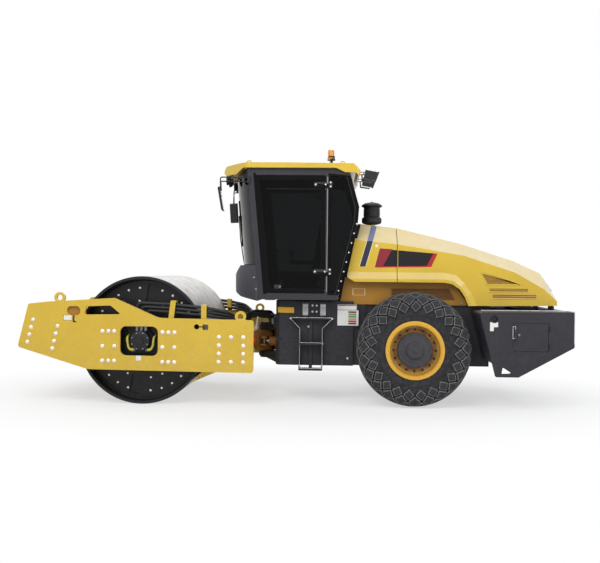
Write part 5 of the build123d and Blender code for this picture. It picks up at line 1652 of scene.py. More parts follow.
# ---------------------------------------------------------------------------- articulation
@dataclass
class Articulation(Assembly):
    """Pin caps, cylinder fittings and the hoses that cross the hinge; places in millimetres."""

    hinge_x: float = -60            # the upright pins
    cylinder: Pair = (240, 740)     # y and z of the steering cylinders
    hose_radius: float = 0.017
    hose_rows: tuple = (0, 52, 104)

    def build_pins(self) -> None:
        """Caps and bolts on the upright pins."""
        shape = self.shape()
        cap = [(-0.004, 0.0), (-0.004, 0.085), (0.012, 0.085), (0.016, 0.078), (0.016, 0.0)]
        for z, way in ((965, 1), (515, -1)):
            rows = [(way * along, r) for along, r in cap]
            shape.lathe(rows, at(self.hinge_x, 0, z), Axis.Z, "enamel_black", 36)
        shape.ride("pin_caps", "rear_frame")
        turns = [math.pi * i / 3 for i in range(6)]
        ring = [(at(self.hinge_x + 66 * math.cos(t), 66 * math.sin(t), 981), Euler()) for t in turns]
        self.bolts("pin_bolts", ring, 0.010, "rear_frame", "steel_bracket", False)

    def build_cylinders(self) -> None:
        """Gland nuts and ports on the steering cylinders, and sleeves in painted deep shade over their rods.
        """
        skin = [(-0.205, 0.058), (-0.205, 0.061), (-0.065, 0.061), (-0.062, 0.058), (-0.062, 0.03),
                (-0.066, 0.03), (-0.066, 0.058)]
        gland = [(-0.03, 0.029), (-0.03, 0.056), (0.002, 0.056), (0.006, 0.05), (0.006, 0.029)]
        for side in Side:
            y, z = side.value * self.cylinder[0], self.cylinder[1]
            sleeve = self.shape().lathe(skin, at(self.hinge_x, y, z), Axis.X, "enamel_yellow_grimy", 32)
            sleeve.ride(f"rod_sleeve_{side.word}", f"cylinder_rod_{side.word}")
            shape = self.shape()
            shape.lathe(gland, at(-270, y, z), Axis.X, "enamel_black", 32)
            for x in (-600, -450):
                shape.rod(at(x, y, z + 48), at(x, y, z + 66), 0.014, "enamel_black", 12, 0.002)
                shape.rod(at(x, y, z + 64), at(x, y, z + 80), 0.011, "steel_bracket", 6)
            shape.ride(f"cylinder_ports_{side.word}", f"cylinder_barrel_{side.word}")

    def build_hose(self, side: Side, number: int, step: float) -> None:
        """One hose from the front bulkhead over the hinge to the rear frame, in two curved stretches.

        Args:
            side: the machine's side.
            number: its number in the bundle.
            step: how far it lies above the lowest one.
        """
        s = side.value
        beam_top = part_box("cross_member_rear")[1].z * 1000 - 36
        start = at(265, s * 458, beam_top + 40 + step * 0.92)
        mid_y, mid_z = s * (150 + step * 0.25), 1060 + step * 0.55
        middle = at(self.hinge_x + 20, mid_y, mid_z)
        end = at(-185, s * (230 + step * 0.6), 985 + step * 0.5)
        path = [start, at(265, s * 330, beam_top + 46 + step * 0.92), at(150, mid_y + s * 60, mid_z + 6),
                middle]
        shape = self.shape().tube(self.dense(bent(path, 0.12, 8)), self.hose_radius, "rubber_hose")
        front = shape.to_object(f"cross_hose_front_{number}_{side.word}")
        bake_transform(front)
        path = [middle, at(-100, mid_y + s * 20, mid_z), at(-150, s * (222 + step * 0.6), 990 + step * 0.5),
                end]
        shape = self.shape().tube(self.dense(bent(path, 0.08, 8)), self.hose_radius, "rubber_hose")
        rear = shape.to_object(f"cross_hose_rear_{number}_{side.word}")
        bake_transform(rear)
        fitting = self.shape()
        fitting.rod(end - Vector((0.004, 0, 0)), end + Vector((0.03, 0, 0)), 0.022, "steel_bracket", 6)
        fitting.ride(f"cross_fitting_{number}_{side.word}", "rear_frame")

    def dense(self, path: Sequence[Vector], step: float = 0.03) -> list[Vector]:
        """The same path with more points.

        Args:
            path: points of the path.
            step: how far apart they may be, in metres.

        Returns:
            The path's points and those between them.
        """
        points = [path[0]]
        for a, b in zip(path, path[1:]):
            count = max(1, math.ceil((b - a).length / step))
            points += [a.lerp(b, (i + 1) / count) for i in range(count)]
        return points

    def build_stops(self) -> None:
        """Grease block on the hinge link and the stop plate that faces it on the rear frame."""
        back, nose = at(-165, 0, 0).x, at(-203, 0, 0).x
        rows = [(back, 0.027, 0), (nose, 0.027, 0.01), (nose, -0.027, 0.01), (back, -0.027, 0)]
        # block and stop in painted deep shade, as the hinge's dark gap
        self.shape().slab(rows, Axis.Z, 0.606, 0.876, "enamel_yellow_grimy").ride("link_block", "link")
        stop = self.shape().box(at(-214, -55, 590), at(-241, 55, 884), "enamel_yellow_grimy")
        stop.ride("link_stop", "rear_frame")

    def build_brackets(self) -> None:
        """Plain zinc uprights behind the front cross-member, and the hose bulkhead on the rear frame."""
        front, rear = self.shape(), self.shape()
        upright = [(92, 880), (92, 904), (52, 914), (28, 1073), (8, 1073), (30, 896)]
        cheek = [(-238, 930, 0), (-190, 930, 10), (-176, 1073, 10), (-238, 1073, 0)]
        for side in Side:
            front.plate(upright, side, 400, 424, "steel_worn")
            rear.plate(cheek, side, 190, 325, "enamel_black")
        rear.box(at(-110, -120, 986), at(-236, 120, 1074), "enamel_black")
        for x in (-132, -172, -212):
            rear.rod(at(x, 0, 1070), at(x, 0, 1092), 0.02, "steel_bracket", 6)
        front.ride("hinge_uprights", "front_frame")
        rear.ride("hose_bulkhead", "rear_frame")

    def build(self) -> None:
        """Builds the articulation's pieces."""
        self.build_stops()
        self.build_brackets()
        self.build_pins()
        self.build_cylinders()
        for side in Side:
            for number, step in enumerate(self.hose_rows):
                self.build_hose(side, number, step)


# ---------------------------------------------------------------------------- hoses on the drum frame
@dataclass
class DrumHoses(Assembly):
    """Crimped ends and clamps of the hose bundles; places in millimetres from the datum."""

    drops: tuple = (-54, 0, 54)             # hoses down to the motor, from the drum's axle
    rise: tuple = (0, 48, 96)               # hoses of a bundle above the lowest one
    clamps: tuple = ((1010, 1158), (605, 1120))

    def build(self) -> None:
        """Builds the fittings of both bundles."""
        for side in Side:
            s = side.value
            shape = self.shape()
            for x in (DRUM_X + drop for drop in self.drops):
                shape.rod(at(x, s * 1105, 925), at(x, s * 1105, 985), 0.025, "steel_bracket", 18, 0.002)
                shape.rod(at(x, s * 1105, 921), at(x, s * 1105, 935), 0.028, "steel_bracket", 6)
            for z in (909 + step for step in self.rise):
                shape.rod(at(265, s * 472, z), at(265, s * 520, z), 0.024, "steel_bracket", 18, 0.002)
                shape.rod(at(265, s * 458, z), at(265, s * 450, z), 0.026, "steel_bracket", 6)
            for x, z in ((x, low + step) for x, low in self.clamps for step in self.rise):
                shape.box(at(x - 16, s * 1080, z - 23), at(x + 16, s * 1140, z + 23), "plastic_black")
            shape.ride(f"hose_fittings_{side.word}", "front_frame")


# ---------------------------------------------------------------------------- cab
@dataclass
class Cab(Assembly):
    """Door seals, handles, wiper, lamps, mirrors, aerial and the dashboard inside; places in millimetres."""

    door: tuple = ((-158, 1452), (-18, 2853), (-828, 2853), (-828, 1452))
    door_seal: float = 17
    hinges: tuple = (1680, 2785)            # heights of the door hinges
    rear_lamp_y: float = 380
    front_lamps: tuple = (250, 490)
    lean: float = 0.0925
    screen_half: float = 740                # half the windscreen's width
    screen_depth: float = 228               # how far its middle stands ahead of the pillars
    beacon: Pair = (-936, 560)

    def pillar(self, z: float) -> float:
        """Front edge of the front pillar at a height."""
        return -20 + (z - 1400) * self.lean

    def before(self, y: float, z: float, depth: float) -> float:
        """Station of a curve across the cab that stands out before the pillars by depth in the middle."""
        return self.pillar(z) + depth * (1 - (y / self.screen_half) ** 2)

    def build_door(self, side: Side) -> None:
        """Black border of the pane, handle, hinge leaves and lock of one door.

        Args:
            side: the machine's side.
        """
        outer = reach("cab_side_left")
        body = f"door_leaf_{side.word}"
        middle = [sum(corner[k] for corner in self.door) / 4 for k in (0, 1)]
        inner = [tuple(p + math.copysign(self.door_seal, m - p) for p, m in zip(corner, middle))
                 for corner in self.door]
        shape = self.shape().frame(self.door, inner, side, outer - 14, outer + 1, "glass_frit")
        shape.plate(rect(-227, 1458, -318, 1508, 12), side, outer - 14, outer + 16, "plastic_trim")
        shape.stud((-300, 1483), side, outer + 14, outer + 21, 0.011, "steel_bracket", 20, 0.002)
        for z in self.hinges:
            leaf = [(-716, z - 30, 28), (-890, z - 30, 6), (-890, z + 30, 6), (-716, z + 30, 28)]
            shape.plate(leaf, side, outer - 1, outer + 12, "plastic_trim")
        shape.ride(f"door_trim_{side.word}", body)
        places = on_side(side, outer + 12, itertools.product((-743, -868), self.hinges))
        self.bolts(f"door_hinge_bolts_{side.word}", places, 0.011, body, "steel_zinc", False)

    def build_side(self, side: Side) -> None:
        """Hinge leaves, screws, the pale hinge strip and the panes' borders on one side of the cab.

        Args:
            side: the machine's side.
        """
        outer = reach("cab_side_left")
        shape = self.shape()
        for z in self.hinges:
            leaf = [(-954, z - 42, 14), (-908, z - 42, 4), (-908, z + 42, 4), (-954, z + 42, 14)]
            shape.plate(leaf, side, outer - 1, outer + 10, "plastic_trim")
        spots = [(-932, z + dz) for z in self.hinges for dz in (-26, 26)]
        self.bolts(f"cab_hinge_bolts_{side.word}", on_side(side, outer + 10, spots), 0.011, "rear_frame",
                   "steel_zinc", False)
        low, high = Vector((-1046, 1440)), Vector((-1266, 2290))
        screws = on_side(side, outer + 3, [low.lerp(high, k / 7) for k in range(8)])
        self.bolts(f"seam_screws_{side.word}", screws, 0.009, "rear_frame", "steel_zinc", False)
        shape.plate(rect(-899, 1420, -889, 2885, 3), side, outer - 1, outer + 5, "steel_bracket")
        pane = [(-930, 1400), (-1010, 1400), (-1238, 2318), (-1250, 2500), (-1144, 2875), (-930, 2905)]
        edge = [(-904, 1384), (-1044, 1384), (-1279, 2312), (-1293, 2504), (-1190, 2898), (-904, 2928)]
        shape.frame(edge, pane, side, outer - 1, outer + 3, "glass_frit")
        low, high = self.pillar(1384), self.pillar(2928)
        shape.plate([(low - 66, 1384), (high - 66, 2928), (high - 97, 2928), (low - 97, 1384)], side,
                    outer - 1, outer + 3, "glass_frit")
        shape.ride(f"cab_seals_{side.word}", "rear_frame")

    def build_front(self) -> None:
        """Windscreen seals, wiper, lamp glasses and cover bolts."""
        shape = self.shape()
        stations = range(-740, 741, 74)
        for z, level in ((1755, 1762), (2905, 2898)):
            seal = [at(self.before(y, z, self.screen_depth) + 2, y, level) for y in stations]
            shape.tube(seal, 0.011, "rubber_seal", 10)
        pivot = at(self.pillar(1800) + 232, 0, 1800)
        tip = at(self.before(260, 2420, 236), 260, 2420)

        def ahead(point: Vector, by: float) -> Vector:
            """The point moved forward by so many metres."""
            return point + Vector((by, 0, 0))

        shape.rod(ahead(pivot, -0.02), ahead(pivot, 0.016), 0.02, "plastic_black", 20, 0.002)
        arm = [ahead(pivot, 0.012), ahead(pivot.lerp(tip, 0.5), 0.03), ahead(tip, 0.02)]
        shape.tube(arm, 0.007, "plastic_black", 10)
        blade = [at(self.before(y, z, 232) + 8, y, z)
                 for y, z in ((200, 2010), (225, 2220), (250, 2430), (268, 2620))]
        shape.tube(blade, 0.008, "rubber_seal", 8)
        lens = [(-0.004, 0), (-0.004, 0.045), (0.002, 0.045), (0.006, 0.03), (0.007, 0)]
        bezel = [(-0.002, 0.045), (0.003, 0.045), (0.003, 0.053), (-0.002, 0.053)]
        for centre in (at(436, way * y, 2866) for way in (-1, 1) for y in self.front_lamps):
            shape.lathe(lens, centre, Axis.X, "glass_lamp", 32)
            shape.lathe(bezel, centre, Axis.X, "plastic_trim", 32)
        shape.ride("windscreen_trim", "rear_frame")
        places = [place for side in Side for place in on_side(side, 803, ((33, 1596), (7, 1448)))]
        self.bolts("cover_bolts", places, 0.013, "rear_frame", "steel_bracket", False)

    def build_rear_lamp(self, shape: Shape, y: float) -> None:
        """Ribbed wedge-shaped lamp behind the roof, on its bracket.

        Args:
            shape: the shape that gets it.
            y: the lamp's middle, from the cab's.
        """
        def face(half: float, low: Pair, high: Pair) -> list[Vector]:
            """Corners of a face across the lamp, from half its width and its edges' (x, z)."""
            return [at(x, y + way * half, z) for (x, z), way in ((low, -1), (low, 1), (high, 1), (high, -1))]

        def moved(points: Sequence[Vector], x: float, z: float = 0.0) -> list[Vector]:
            """The points moved along and up, in metres."""
            return [p + Vector((x, 0, z)) for p in points]

        front = face(46, (-1362, 2914), (-1382, 3026))
        rear = face(62, (-1508, 2886), (-1548, 2992))
        shape.hull(front, rear, "plastic_black")
        bezel = face(68, (-1506, 2880), (-1550, 3000))
        lens = moved(bezel, -0.016, -0.005)
        shape.hull(bezel, lens, "plastic_trim")
        middle = sum(lens, Vector()) / 4
        glass = [middle.lerp(p, 0.84) for p in lens]
        shape.hull(moved(glass, 0.01), moved(glass, -0.002), "glass_lamp")
        for share in (0.16 + 0.16 * k for k in range(5)):
            loop = [a.lerp(b, share) for a, b in zip(front, rear)]
            centre = sum(loop, Vector()) / 4
            rib = [centre.lerp(p, 1.07) for p in loop]
            shape.hull(moved(rib, 0.003), moved(rib, -0.003), "plastic_trim")
        # brackets in painted shade
        shape.box(at(-1284, y - 30, 2962), at(-1378, y + 30, 2970), "enamel_yellow_shade")
        shape.box(at(-1290, y - 36, 2906), at(-1298, y + 36, 2992), "enamel_yellow_shade")
        arm = flat([(-1330, 2964), (-1344, 2964), (-1352, 2892), (-1474, 2872), (-1472, 2862), (-1338, 2880)])
        shape.slab(arm, Axis.Y, (y - 40) / 1000, (y + 40) / 1000, "plastic_black")
        shape.rod(at(-1360, y - 42, 2978), at(-1360, y + 42, 2978), 0.008, "steel_bracket", 6)
        wire = [at(-1382, y, 2990), at(-1340, y + 12, 3002), at(-1296, y + 14, 2980)]
        shape.tube(bent(wire, 0.02), 0.005, "rubber_hose", 8)

    def build_lamps(self) -> None:
        """Work lamps before and behind the roof, and the beacon's foot and ribs."""
        shape = self.shape()
        casing = [(-0.056, 0.0), (-0.056, 0.030), (-0.030, 0.056), (-0.006, 0.062), (0.0, 0.064), (0.0, 0.0)]
        for s in (side.value for side in Side):
            self.build_rear_lamp(shape, s * self.rear_lamp_y)
            for y in self.front_lamps:
                shape.lathe(casing, at(436, s * y, 2866), Axis.X, "plastic_black", 32)
                shape.box(at(385, s * y - 14, 2900), at(398, s * y + 14, 2932), "plastic_black")
        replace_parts(shape.ride("work_lamps", "rear_frame"), "work_lights")
        x, y = self.beacon
        trim = self.shape()
        collar = [(0.01, 0.046), (0.026, 0.046), (0.03, 0.0435), (0.03, 0.041), (0.0, 0.041)]
        trim.lathe(collar, at(x, y, 3150), Axis.Z, "plastic_black", 32)
        trim.rod(at(x, y, 3052), at(x, y, 3126), 0.0185, "plastic_black", 20, 0.002)
        foot = [(-0.004, 0.0), (-0.004, 0.05), (0.012, 0.05), (0.02, 0.044), (0.02, 0.0)]
        trim.lathe(foot, at(x, y, 3128), Axis.Z, "plastic_black", 32)
        rib = [(-0.002, 0.039), (0, 0.0415), (0.002, 0.039)]
        for z in range(3176, 3237, 20):
            trim.lathe(rib, at(x, y, z), Axis.Z, "lens_amber", 32)
        trim.ride("beacon_trim", "rear_frame")

    def build_roof(self) -> None:
        """Lifting rings and aerial on the roof."""
        shape = self.shape()
        turns = [2 * math.pi * i / 24 for i in range(25)]
        ring = [Vector((math.cos(t) * 0.03, 0, math.sin(t) * 0.03)) for t in turns]
        for x, top in ((136, 3052), (-1080, 3046)):
            for y in (560, -560):
                shape.tube([at(x, y, top + 38) + p for p in ring], 0.008, "enamel_yellow_panel", 10)
                shape.rod(at(x, y, top - 4), at(x, y, top + 10), 0.024, "enamel_yellow_panel", 20, 0.003)
        shape.tube([at(300, -600, 3040), at(296, -602, 3120), at(230, -620, 3250)], 0.003, "plastic_black", 8)
        shape.rod(at(300, -600, 3036), at(300, -600, 3060), 0.014, "plastic_black", 16, 0.002)
        shape.ride("roof_fittings", "rear_frame")

    def build_mirror(self, shape: Shape, middle: Vector, lean: float, yaw: float,
                     path: Sequence[Vector]) -> None:
        """One mirror: shell, glass and the two tubes that carry it.

        Args:
            shape: the shape that gets it.
            middle: the middle of the glass.
            lean: how far the top stands ahead of the foot, in metres.
            yaw: how far it is turned about the vertical, in degrees.
            path: points of the carrying tube, from the cab to the mirror's top.
        """
        half, high, deep, drop = 0.078, 0.15, 0.026, Vector((0, 0, 0.052))
        corners = ((-half, -high), (half, -high), (half, high), (-half, high))
        turn = Euler((0, 0, math.radians(yaw))).to_matrix()
        slope = lean / (2 * high)
        face = [middle + turn @ Vector((slope * z, y, z)) for y, z in corners]
        back = [middle + turn @ Vector((deep + slope * z * 0.9, y * 0.86, z * 0.9)) for y, z in corners]
        shape.hull(face, back, "plastic_black")
        glass = [middle.lerp(p, 0.92) + turn @ Vector((-0.001, 0, 0)) for p in face]
        shape.hull(glass, [p + turn @ Vector((-0.003, 0, 0)) for p in glass], "mirror_face")
        for tube in (path, [p - drop for p in path[:-1]] + [path[-1]]):
            shape.tube(bent(tube, 0.05), 0.008, "plastic_trim", 10)
        shape.rod(path[-1] + Vector((0, 0, 0.02)), middle + Vector((0.012, 0, 0.1)), 0.011, "plastic_black",
                  14, 0.002)
        shape.box(path[0] - Vector((0.02, 0.014, 0.07)), path[0] + Vector((0.02, 0.014, 0.02)),
                  "plastic_black")

    def build_mirrors(self) -> None:
        """The mirror beside each front corner of the roof; the right one stands further forward."""
        shape = self.shape()
        left = [at(110, 812, 2868), at(300, 930, 2856), at(428, 1120, 2834), at(420, 1145, 2760)]
        self.build_mirror(shape, at(402, 1145, 2560), 0.052, 4, left)
        right = [at(110, -812, 2868), at(330, -930, 2900), at(560, -1100, 2925), at(566, -1145, 2790)]
        self.build_mirror(shape, at(556, -1150, 2565), 0.03, 55, right)
        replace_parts(shape.ride("mirror_pair", "rear_frame"), "mirrors")

    def build_inside(self) -> None:
        """Dashboard, armrests, levers, headrest and floor mat that show through the glass."""
        shape = self.shape()
        dash = flat([(-10, 1700, 20), (150, 1730, 20), (170, 1780, 20), (20, 1812, 20), (-20, 1780, 20)])
        shape.slab(dash, Axis.Y, -0.34, 0.34, "plastic_trim")
        shape.box(at(-6, -120, 1800), at(60, 120, 1880), "plastic_black")
        for way in (-1, 1):
            shape.box(at(-700, way * 262, 1780), at(-380, way * 330, 1830), "plastic_trim")
            shape.rod(at(-420, way * 296, 1825), at(-400, way * 296, 1925), 0.009, "plastic_black", 12)
            shape.rod(at(-401, way * 296, 1920), at(-392, way * 296, 1965), 0.022, "plastic_black", 16, 0.008)
        headrest = flat([(-905, 2360, 20), (-825, 2360, 20), (-850, 2520, 30), (-915, 2520, 30)])
        shape.slab(headrest, Axis.Y, -0.14, 0.14, "seat_cloth")
        shape.box(at(-1000, -735, 1368), at(-60, 735, 1374), "plastic_trim")
        shape.ride("cab_inside", "rear_frame")

    def build(self) -> None:
        """Builds the cab's pieces."""
        for side in Side:
            self.build_door(side)
            self.build_side(side)
        self.build_front()
        self.build_lamps()
        self.build_roof()
        self.build_mirrors()
        self.build_inside()


# ---------------------------------------------------------------------------- engine cover
@dataclass
class EngineCover(Assembly):
    """Vents, stripe, badge plate and latches of cowl and hood, and the pre-cleaner; places in millimetres."""

    side_y: float = 655                     # the covers' upright sides
    vent_floor: float = 643
    slots: tuple = ((-3463, -2975, 1445, 1487), (-3568, -3018, 1361, 1409))     # x from and to, z from and to
    mesh_pitch: float = 16.0
    cut: float = -1801                      # where cowl and hood meet
    cleaner: Pair = (-1477, 300)

    def build_vents(self, side: Side) -> None:
        """Lips of the two louvres, and the sheets in the triangular vent and in the bay's grille.

        Args:
            side: the machine's side.
        """
        s, floor = side.value, self.vent_floor
        shape = self.shape()
        for x0, x1, z0, z1 in self.slots:
            # slot floors in painted shade
            shape.film(rect(x0 + 2, z0 + 2, x1 - 2, z1 - 2, 4), side, floor, "enamel_yellow_shade", 1.0)
            shape.rod(at(x0 - 8, s * 654, z0 - 3), at(x1 + 8, s * 654, z0 - 3), 0.0075, "enamel_yellow_panel",
                      12, 0.002)
            z = (z0 + z1) / 2 + 4
            shape.rod(at(x0 + 4, s * 651, z), at(x1 - 4, s * 651, z), 0.0035, "enamel_yellow_panel", 8)
        outer = [(-2846, 1706), (-2938, 1524), (-3360, 1530)]
        inner = [(-2868, 1680), (-2947, 1542), (-3334, 1548)]
        shape.frame(outer, inner, side, 653, 660, "enamel_yellow_panel")
        sheet = [(-2868, 1676, 12), (-2947, 1544, 12), (-3330, 1549, 6)]
        shape.plate(sheet, side, floor, floor + 2, "mesh_yellow")
        shape.ride(f"hood_vents_{side.word}", "engine_hood")
        spots = on_side(side, floor + 2, self.vent_spots())
        self.holes(f"vent_holes_{side.word}", spots, 0.0052, "engine_hood")
        grille = [(-1734, 1468, 8), (-2466, 1476, 8), (-2558, 1329, 8), (-1734, 1329, 8)]
        # grille sheet in painted deep shade
        bay = self.shape().plate(grille, side, 560, 562, "enamel_yellow_grimy")
        bay.ride(f"bay_grille_{side.word}", "rear_frame")
        spots = [(-1746 - i * 18 - (j % 2) * 9, 1340 + j * 17.5) for i in range(44) for j in range(8)]
        spots = [(x, z) for x, z in spots if x > -2470 - (1476 - z) * 0.6 + 14]
        self.holes(f"bay_holes_{side.word}", on_side(side, 562, spots), 0.0062, "rear_frame")

    def vent_spots(self) -> list[Pair]:
        """Rows of holes over the triangular vent.

        Returns:
            (x, z) of each hole.
        """
        peak, near, far = (Vector(c) for c in ((-2872, 1664), (-2947, 1551), (-3306, 1555)))
        spots = []
        for row in range(int((peak.y - near.y) / self.mesh_pitch)):
            z = near.y + 8 + row * self.mesh_pitch
            share = (z - near.y) / (peak.y - near.y)
            x = near.x + share * (peak.x - near.x) - 8 - (row % 2) * self.mesh_pitch / 2
            while x > far.x + share * (peak.x - far.x) + 10:
                spots.append((x, z))
                x -= self.mesh_pitch
        return spots

    def build_stripe(self, side: Side) -> None:
        """Navy stripe with its pale edge on the cowl, running on over the shoulder.

        Args:
            side: the machine's side.
        """
        shape = self.shape()
        for grow, finish, out in ((9, "vinyl_pale", 0.8), (0, "vinyl_navy", 1.4)):
            rows = [(-1314 + grow, 1752), (-1388 - grow, 1752), (-1481 - grow, 2079), (-1407 + grow, 2079)]
            shape.film(rows, side, self.side_y, finish, out)
        shape.ride(f"stripe_{side.word}", "rear_frame")
        over = self.shape()
        flip = Vector((1, side.value, 1))
        # over the shoulder the navy is paler: painted sky reflection
        for grow, finish, out in ((9, "vinyl_pale", 0.001), (0, "vinyl_navy_pale", 0.0018)):
            corners = [self.on_shoulder(x, share) for x, share in (
                (-1407 + grow, 0.0), (-1481 - grow, 0.0), (-1540 - grow, 0.96), (-1466 + grow, 0.96))]
            normal = Vector((0.1, 0.62, 0.77)).normalized() * out
            over.hull([(p - normal * 0.4) * flip for p in corners], [(p + normal) * flip for p in corners],
                      finish)
        over.ride(f"stripe_shoulder_{side.word}", "rear_frame")

    def on_shoulder(self, x: float, share: float) -> Vector:
        """A point on the cowl's sloped shoulder.

        Args:
            x: its station.
            share: 0 at the upright side's top edge, 1 at the flat top's edge.

        Returns:
            The point in frame metres, on the left side.
        """
        run = (x + 1091) / (-1797 + 1091)
        low = 2110 + run * (2040 - 2110)
        high = 2339 + run * (2262 - 2339)
        return at(x, self.side_y - 250 * share, low + (high - low) * share)

    def build_badge(self, side: Side) -> None:
        """Blank dark badge plate with its red lower edge, and a small white label.

        Args:
            side: the machine's side.
        """
        y = self.side_y
        (top, low), (far_top, far_low) = ends = ((-1579, 1981), (-1508, 1741)), ((-2305, 1925), (-2228, 1754))

        def edges_at(x: float) -> tuple:
            """The plate's upper and lower edge at a station."""
            return tuple((x, a[1] + (b[1] - a[1]) / (b[0] - a[0]) * (x - a[0])) for a, b in zip(*ends))

        cowl, hood = self.shape(), self.shape()
        for shape, (top_a, low_a), (top_b, low_b) in ((cowl, ends[0], edges_at(self.cut + 3)),
                                                      (hood, edges_at(self.cut - 5), ends[1])):
            shape.film([(*p, 4) for p in (top_a, top_b, low_b, low_a)], side, y, "vinyl_charcoal", 1.6)
            edge = [(low_a[0] - 4, low_a[1] + 14), (low_b[0], low_b[1] + 14), low_b, low_a]
            shape.film(edge, side, y, "vinyl_red", 2.2)
        head = [(top[0] + 8, top[1] + 6, 6), (top[0] - 150, top[1] - 4, 0), (low[0] - 96, low[1], 0),
                (*low, 6)]
        cowl.film(head, side, y, "vinyl_crimson", 1.9)
        tail = [(far_top[0] + 50, far_top[1] + 3), far_top, far_low, (far_low[0] + 64, far_low[1])]
        hood.film(tail, side, y, "vinyl_red", 2.6)
        sheet = [(-1514, 2002, 3), (-1548, 2000, 3), (-1548, 2034, 3), (-1514, 2036, 3)]
        cowl.film(sheet, side, y, "vinyl_white", 1.4)
        cowl.ride(f"badge_front_{side.word}", "rear_frame")
        hood.ride(f"badge_rear_{side.word}", "engine_hood")

    def build_latches(self, side: Side) -> None:
        """Hood latch, and the seal along the gap between cowl and hood.

        Args:
            side: the machine's side.
        """
        latch = self.shape().plate(rect(-1868, 1566, -1830, 1588, 6), side, 699, 706, "enamel_yellow_panel")
        latch.ride(f"hood_latch_{side.word}", "engine_hood")
        path = [at(self.cut, side.value * 648, z) for z in (1690, 1800, 1900, 2000, 2036)]
        self.shape().tube(path, 0.005, "rubber_seal", 8).ride(f"hood_seal_{side.word}", "rear_frame")

    def build_bellows(self) -> None:
        """Black rubber board that closes the slot between the cab's back and the covers."""
        shape = self.shape()
        upper = flat([(-1106, 1612), (-1284, 2296), (-1324, 2296), (-1162, 1612)])
        shape.slab(upper, Axis.Y, -0.63, 0.63, "rubber_seal")
        lower = flat([(-1047, 1312), (-1062, 1428), (-1108, 1613), (-1162, 1613), (-1130, 1560),
                      (-1092, 1312)])
        shape.slab(lower, Axis.Y, -0.556, 0.556, "rubber_seal")
        shape.ride("cab_bellows", "rear_frame")

    def build_rear_grille(self) -> None:
        """Slats over the radiator's opening in the hood's tail."""
        shape = self.shape()
        start, end = at(-3680, 0, 1670), at(-3837, 0, 1460)
        down = (end - start).normalized()
        out = Vector((down.z, 0, -down.x))
        thick, half, count = down * 0.0016, Vector((0, 0.376, 0)), 13
        for i in range(count):
            spot = start.lerp(end, (i + 0.5) / count) - out * 0.004
            root, lip = spot - out * 0.007, spot + out * 0.006 + down * 0.006
            slat = (root - thick, lip - thick, lip + thick, root + thick)
            shape.hull([p - half for p in slat], [p + half for p in slat], "enamel_charcoal")
        shape.ride("tail_grille", "engine_hood")

    def build_cleaner(self) -> None:
        """Body, foot, inlet ribs, cap and band clamp of the air pre-cleaner."""
        centre = at(*self.cleaner, 0)
        shape = self.shape()
        shell = [(2.31, 0.0), (2.31, 0.06), (2.322, 0.112), (2.34, 0.131), (2.392, 0.131), (2.412, 0.110),
                 (2.418, 0.105), (2.528, 0.105), (2.540, 0.110), (2.546, 0.133), (2.556, 0.137),
                 (2.572, 0.130), (2.596, 0.09), (2.606, 0.04), (2.608, 0.0)]
        shape.lathe(shell, centre, Axis.Z, "plastic_black", 56)
        pipe = [(2.228, 0.0), (2.228, 0.048), (2.312, 0.048), (2.312, 0.0)]
        shape.lathe(pipe, centre, Axis.Z, "enamel_yellow", 40)
        ribs = self.shape()
        for z in (2.43 + 0.016 * k for k in range(6)):
            rib = [(z - 0.004, 0.103), (z - 0.003, 0.111), (z + 0.003, 0.111), (z + 0.004, 0.103)]
            ribs.lathe(rib, centre, Axis.Z, "plastic_trim", 40)
        clamp = [(2.236, 0.047), (2.236, 0.055), (2.250, 0.055), (2.250, 0.047)]
        ribs.lathe(clamp, centre, Axis.Z, "steel_bracket", 40)
        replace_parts(shape.ride("cleaner_body", "rear_frame"), "pre_cleaner")
        ribs.rod(at(*self.cleaner, 2602), at(*self.cleaner, 2616), 0.016, "steel_bracket", 6)
        ribs.ride("cleaner_ribs", "rear_frame")

    def build(self) -> None:
        """Builds the engine cover's pieces."""
        for side in Side:
            self.build_vents(side)
            self.build_stripe(side)
            self.build_badge(side)
            self.build_latches(side)
        self.build_bellows()
        self.build_rear_grille()
        self.build_cleaner()


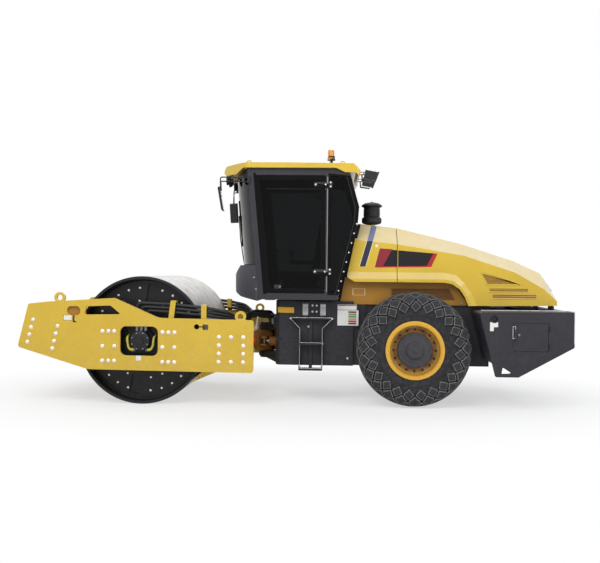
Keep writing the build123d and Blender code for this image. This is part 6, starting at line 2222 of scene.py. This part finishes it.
# ---------------------------------------------------------------------------- assembly
DRESS = {
    "enamel_yellow": ("side_plate_left", "side_plate_right", "cross_member_front", "cross_member_rear",
                      "scrapers", "hose_guides"),
    "enamel_yellow_grimy": ("hinge_link",),
    "enamel_yellow_shade": ("bay_panels",),
    "enamel_yellow_panel": ("hood", "cowl", "cab_roof"),
    "enamel_rim": ("rim_left", "rim_right"),
    "enamel_charcoal": ("chassis_box", "chassis_rails", "steps", "hood_hinges"),
    "enamel_ballast": ("rear_box", "box_doors"),
    "enamel_cab": ("cab_floor", "cab_side_left", "cab_side_right", "cab_front_header", "cab_rear_header",
                   "cab_rear_wall"),
    "enamel_cover": ("cab_front_cover",),
    "glass_frit": ("door_left", "door_right"),
    "enamel_black": ("drum_heads", "drum_mounts", "drum_motors", "hinge_lugs", "steer_barrel_left",
                     "steer_barrel_right", "rear_axle"),
    "enamel_hub": ("wheel_hub_left", "wheel_hub_right"),
    "enamel_engine": ("engine_block", "radiator"),
    "enamel_red": ("lock_bar",),
    "steel_drum": ("drum_shell",),
    "chrome_rod": ("steer_rod_left", "steer_rod_right"),
    "rubber_tyre": ("tyre_left", "tyre_right"),
    "rubber_hose": ("drum_hoses", "drum_buffers"),
    "plastic_black": ("mirrors", "work_lights", "steering_column", "pre_cleaner"),
    "glass_screen": ("windscreen",),
    "glass_tinted": ("rear_glass", "quarter_glass", "door_glass_left", "door_glass_right"),
    "lens_amber": ("beacon",),
    "seat_cloth": ("driver_seat",),
}


def main() -> None:
    """Builds the stage, the finishes and every sub-assembly."""
    logging.basicConfig(level=logging.INFO, format="%(name)s: %(message)s")
    Stage().build()
    finishes = Finishes()
    for finish, nodes in DRESS.items():
        finishes.dress(finish, nodes)
    wheels = [Wheel(finishes, side) for side in Side]
    for assembly in (FrontFrame(finishes), Drum(finishes), *wheels, RearFrame(finishes),
                     Articulation(finishes), DrumHoses(finishes), Cab(finishes), EngineCover(finishes)):
        assembly.build()
        log.info("%s built", type(assembly).__name__)


if __name__ == "__main__":
    main()
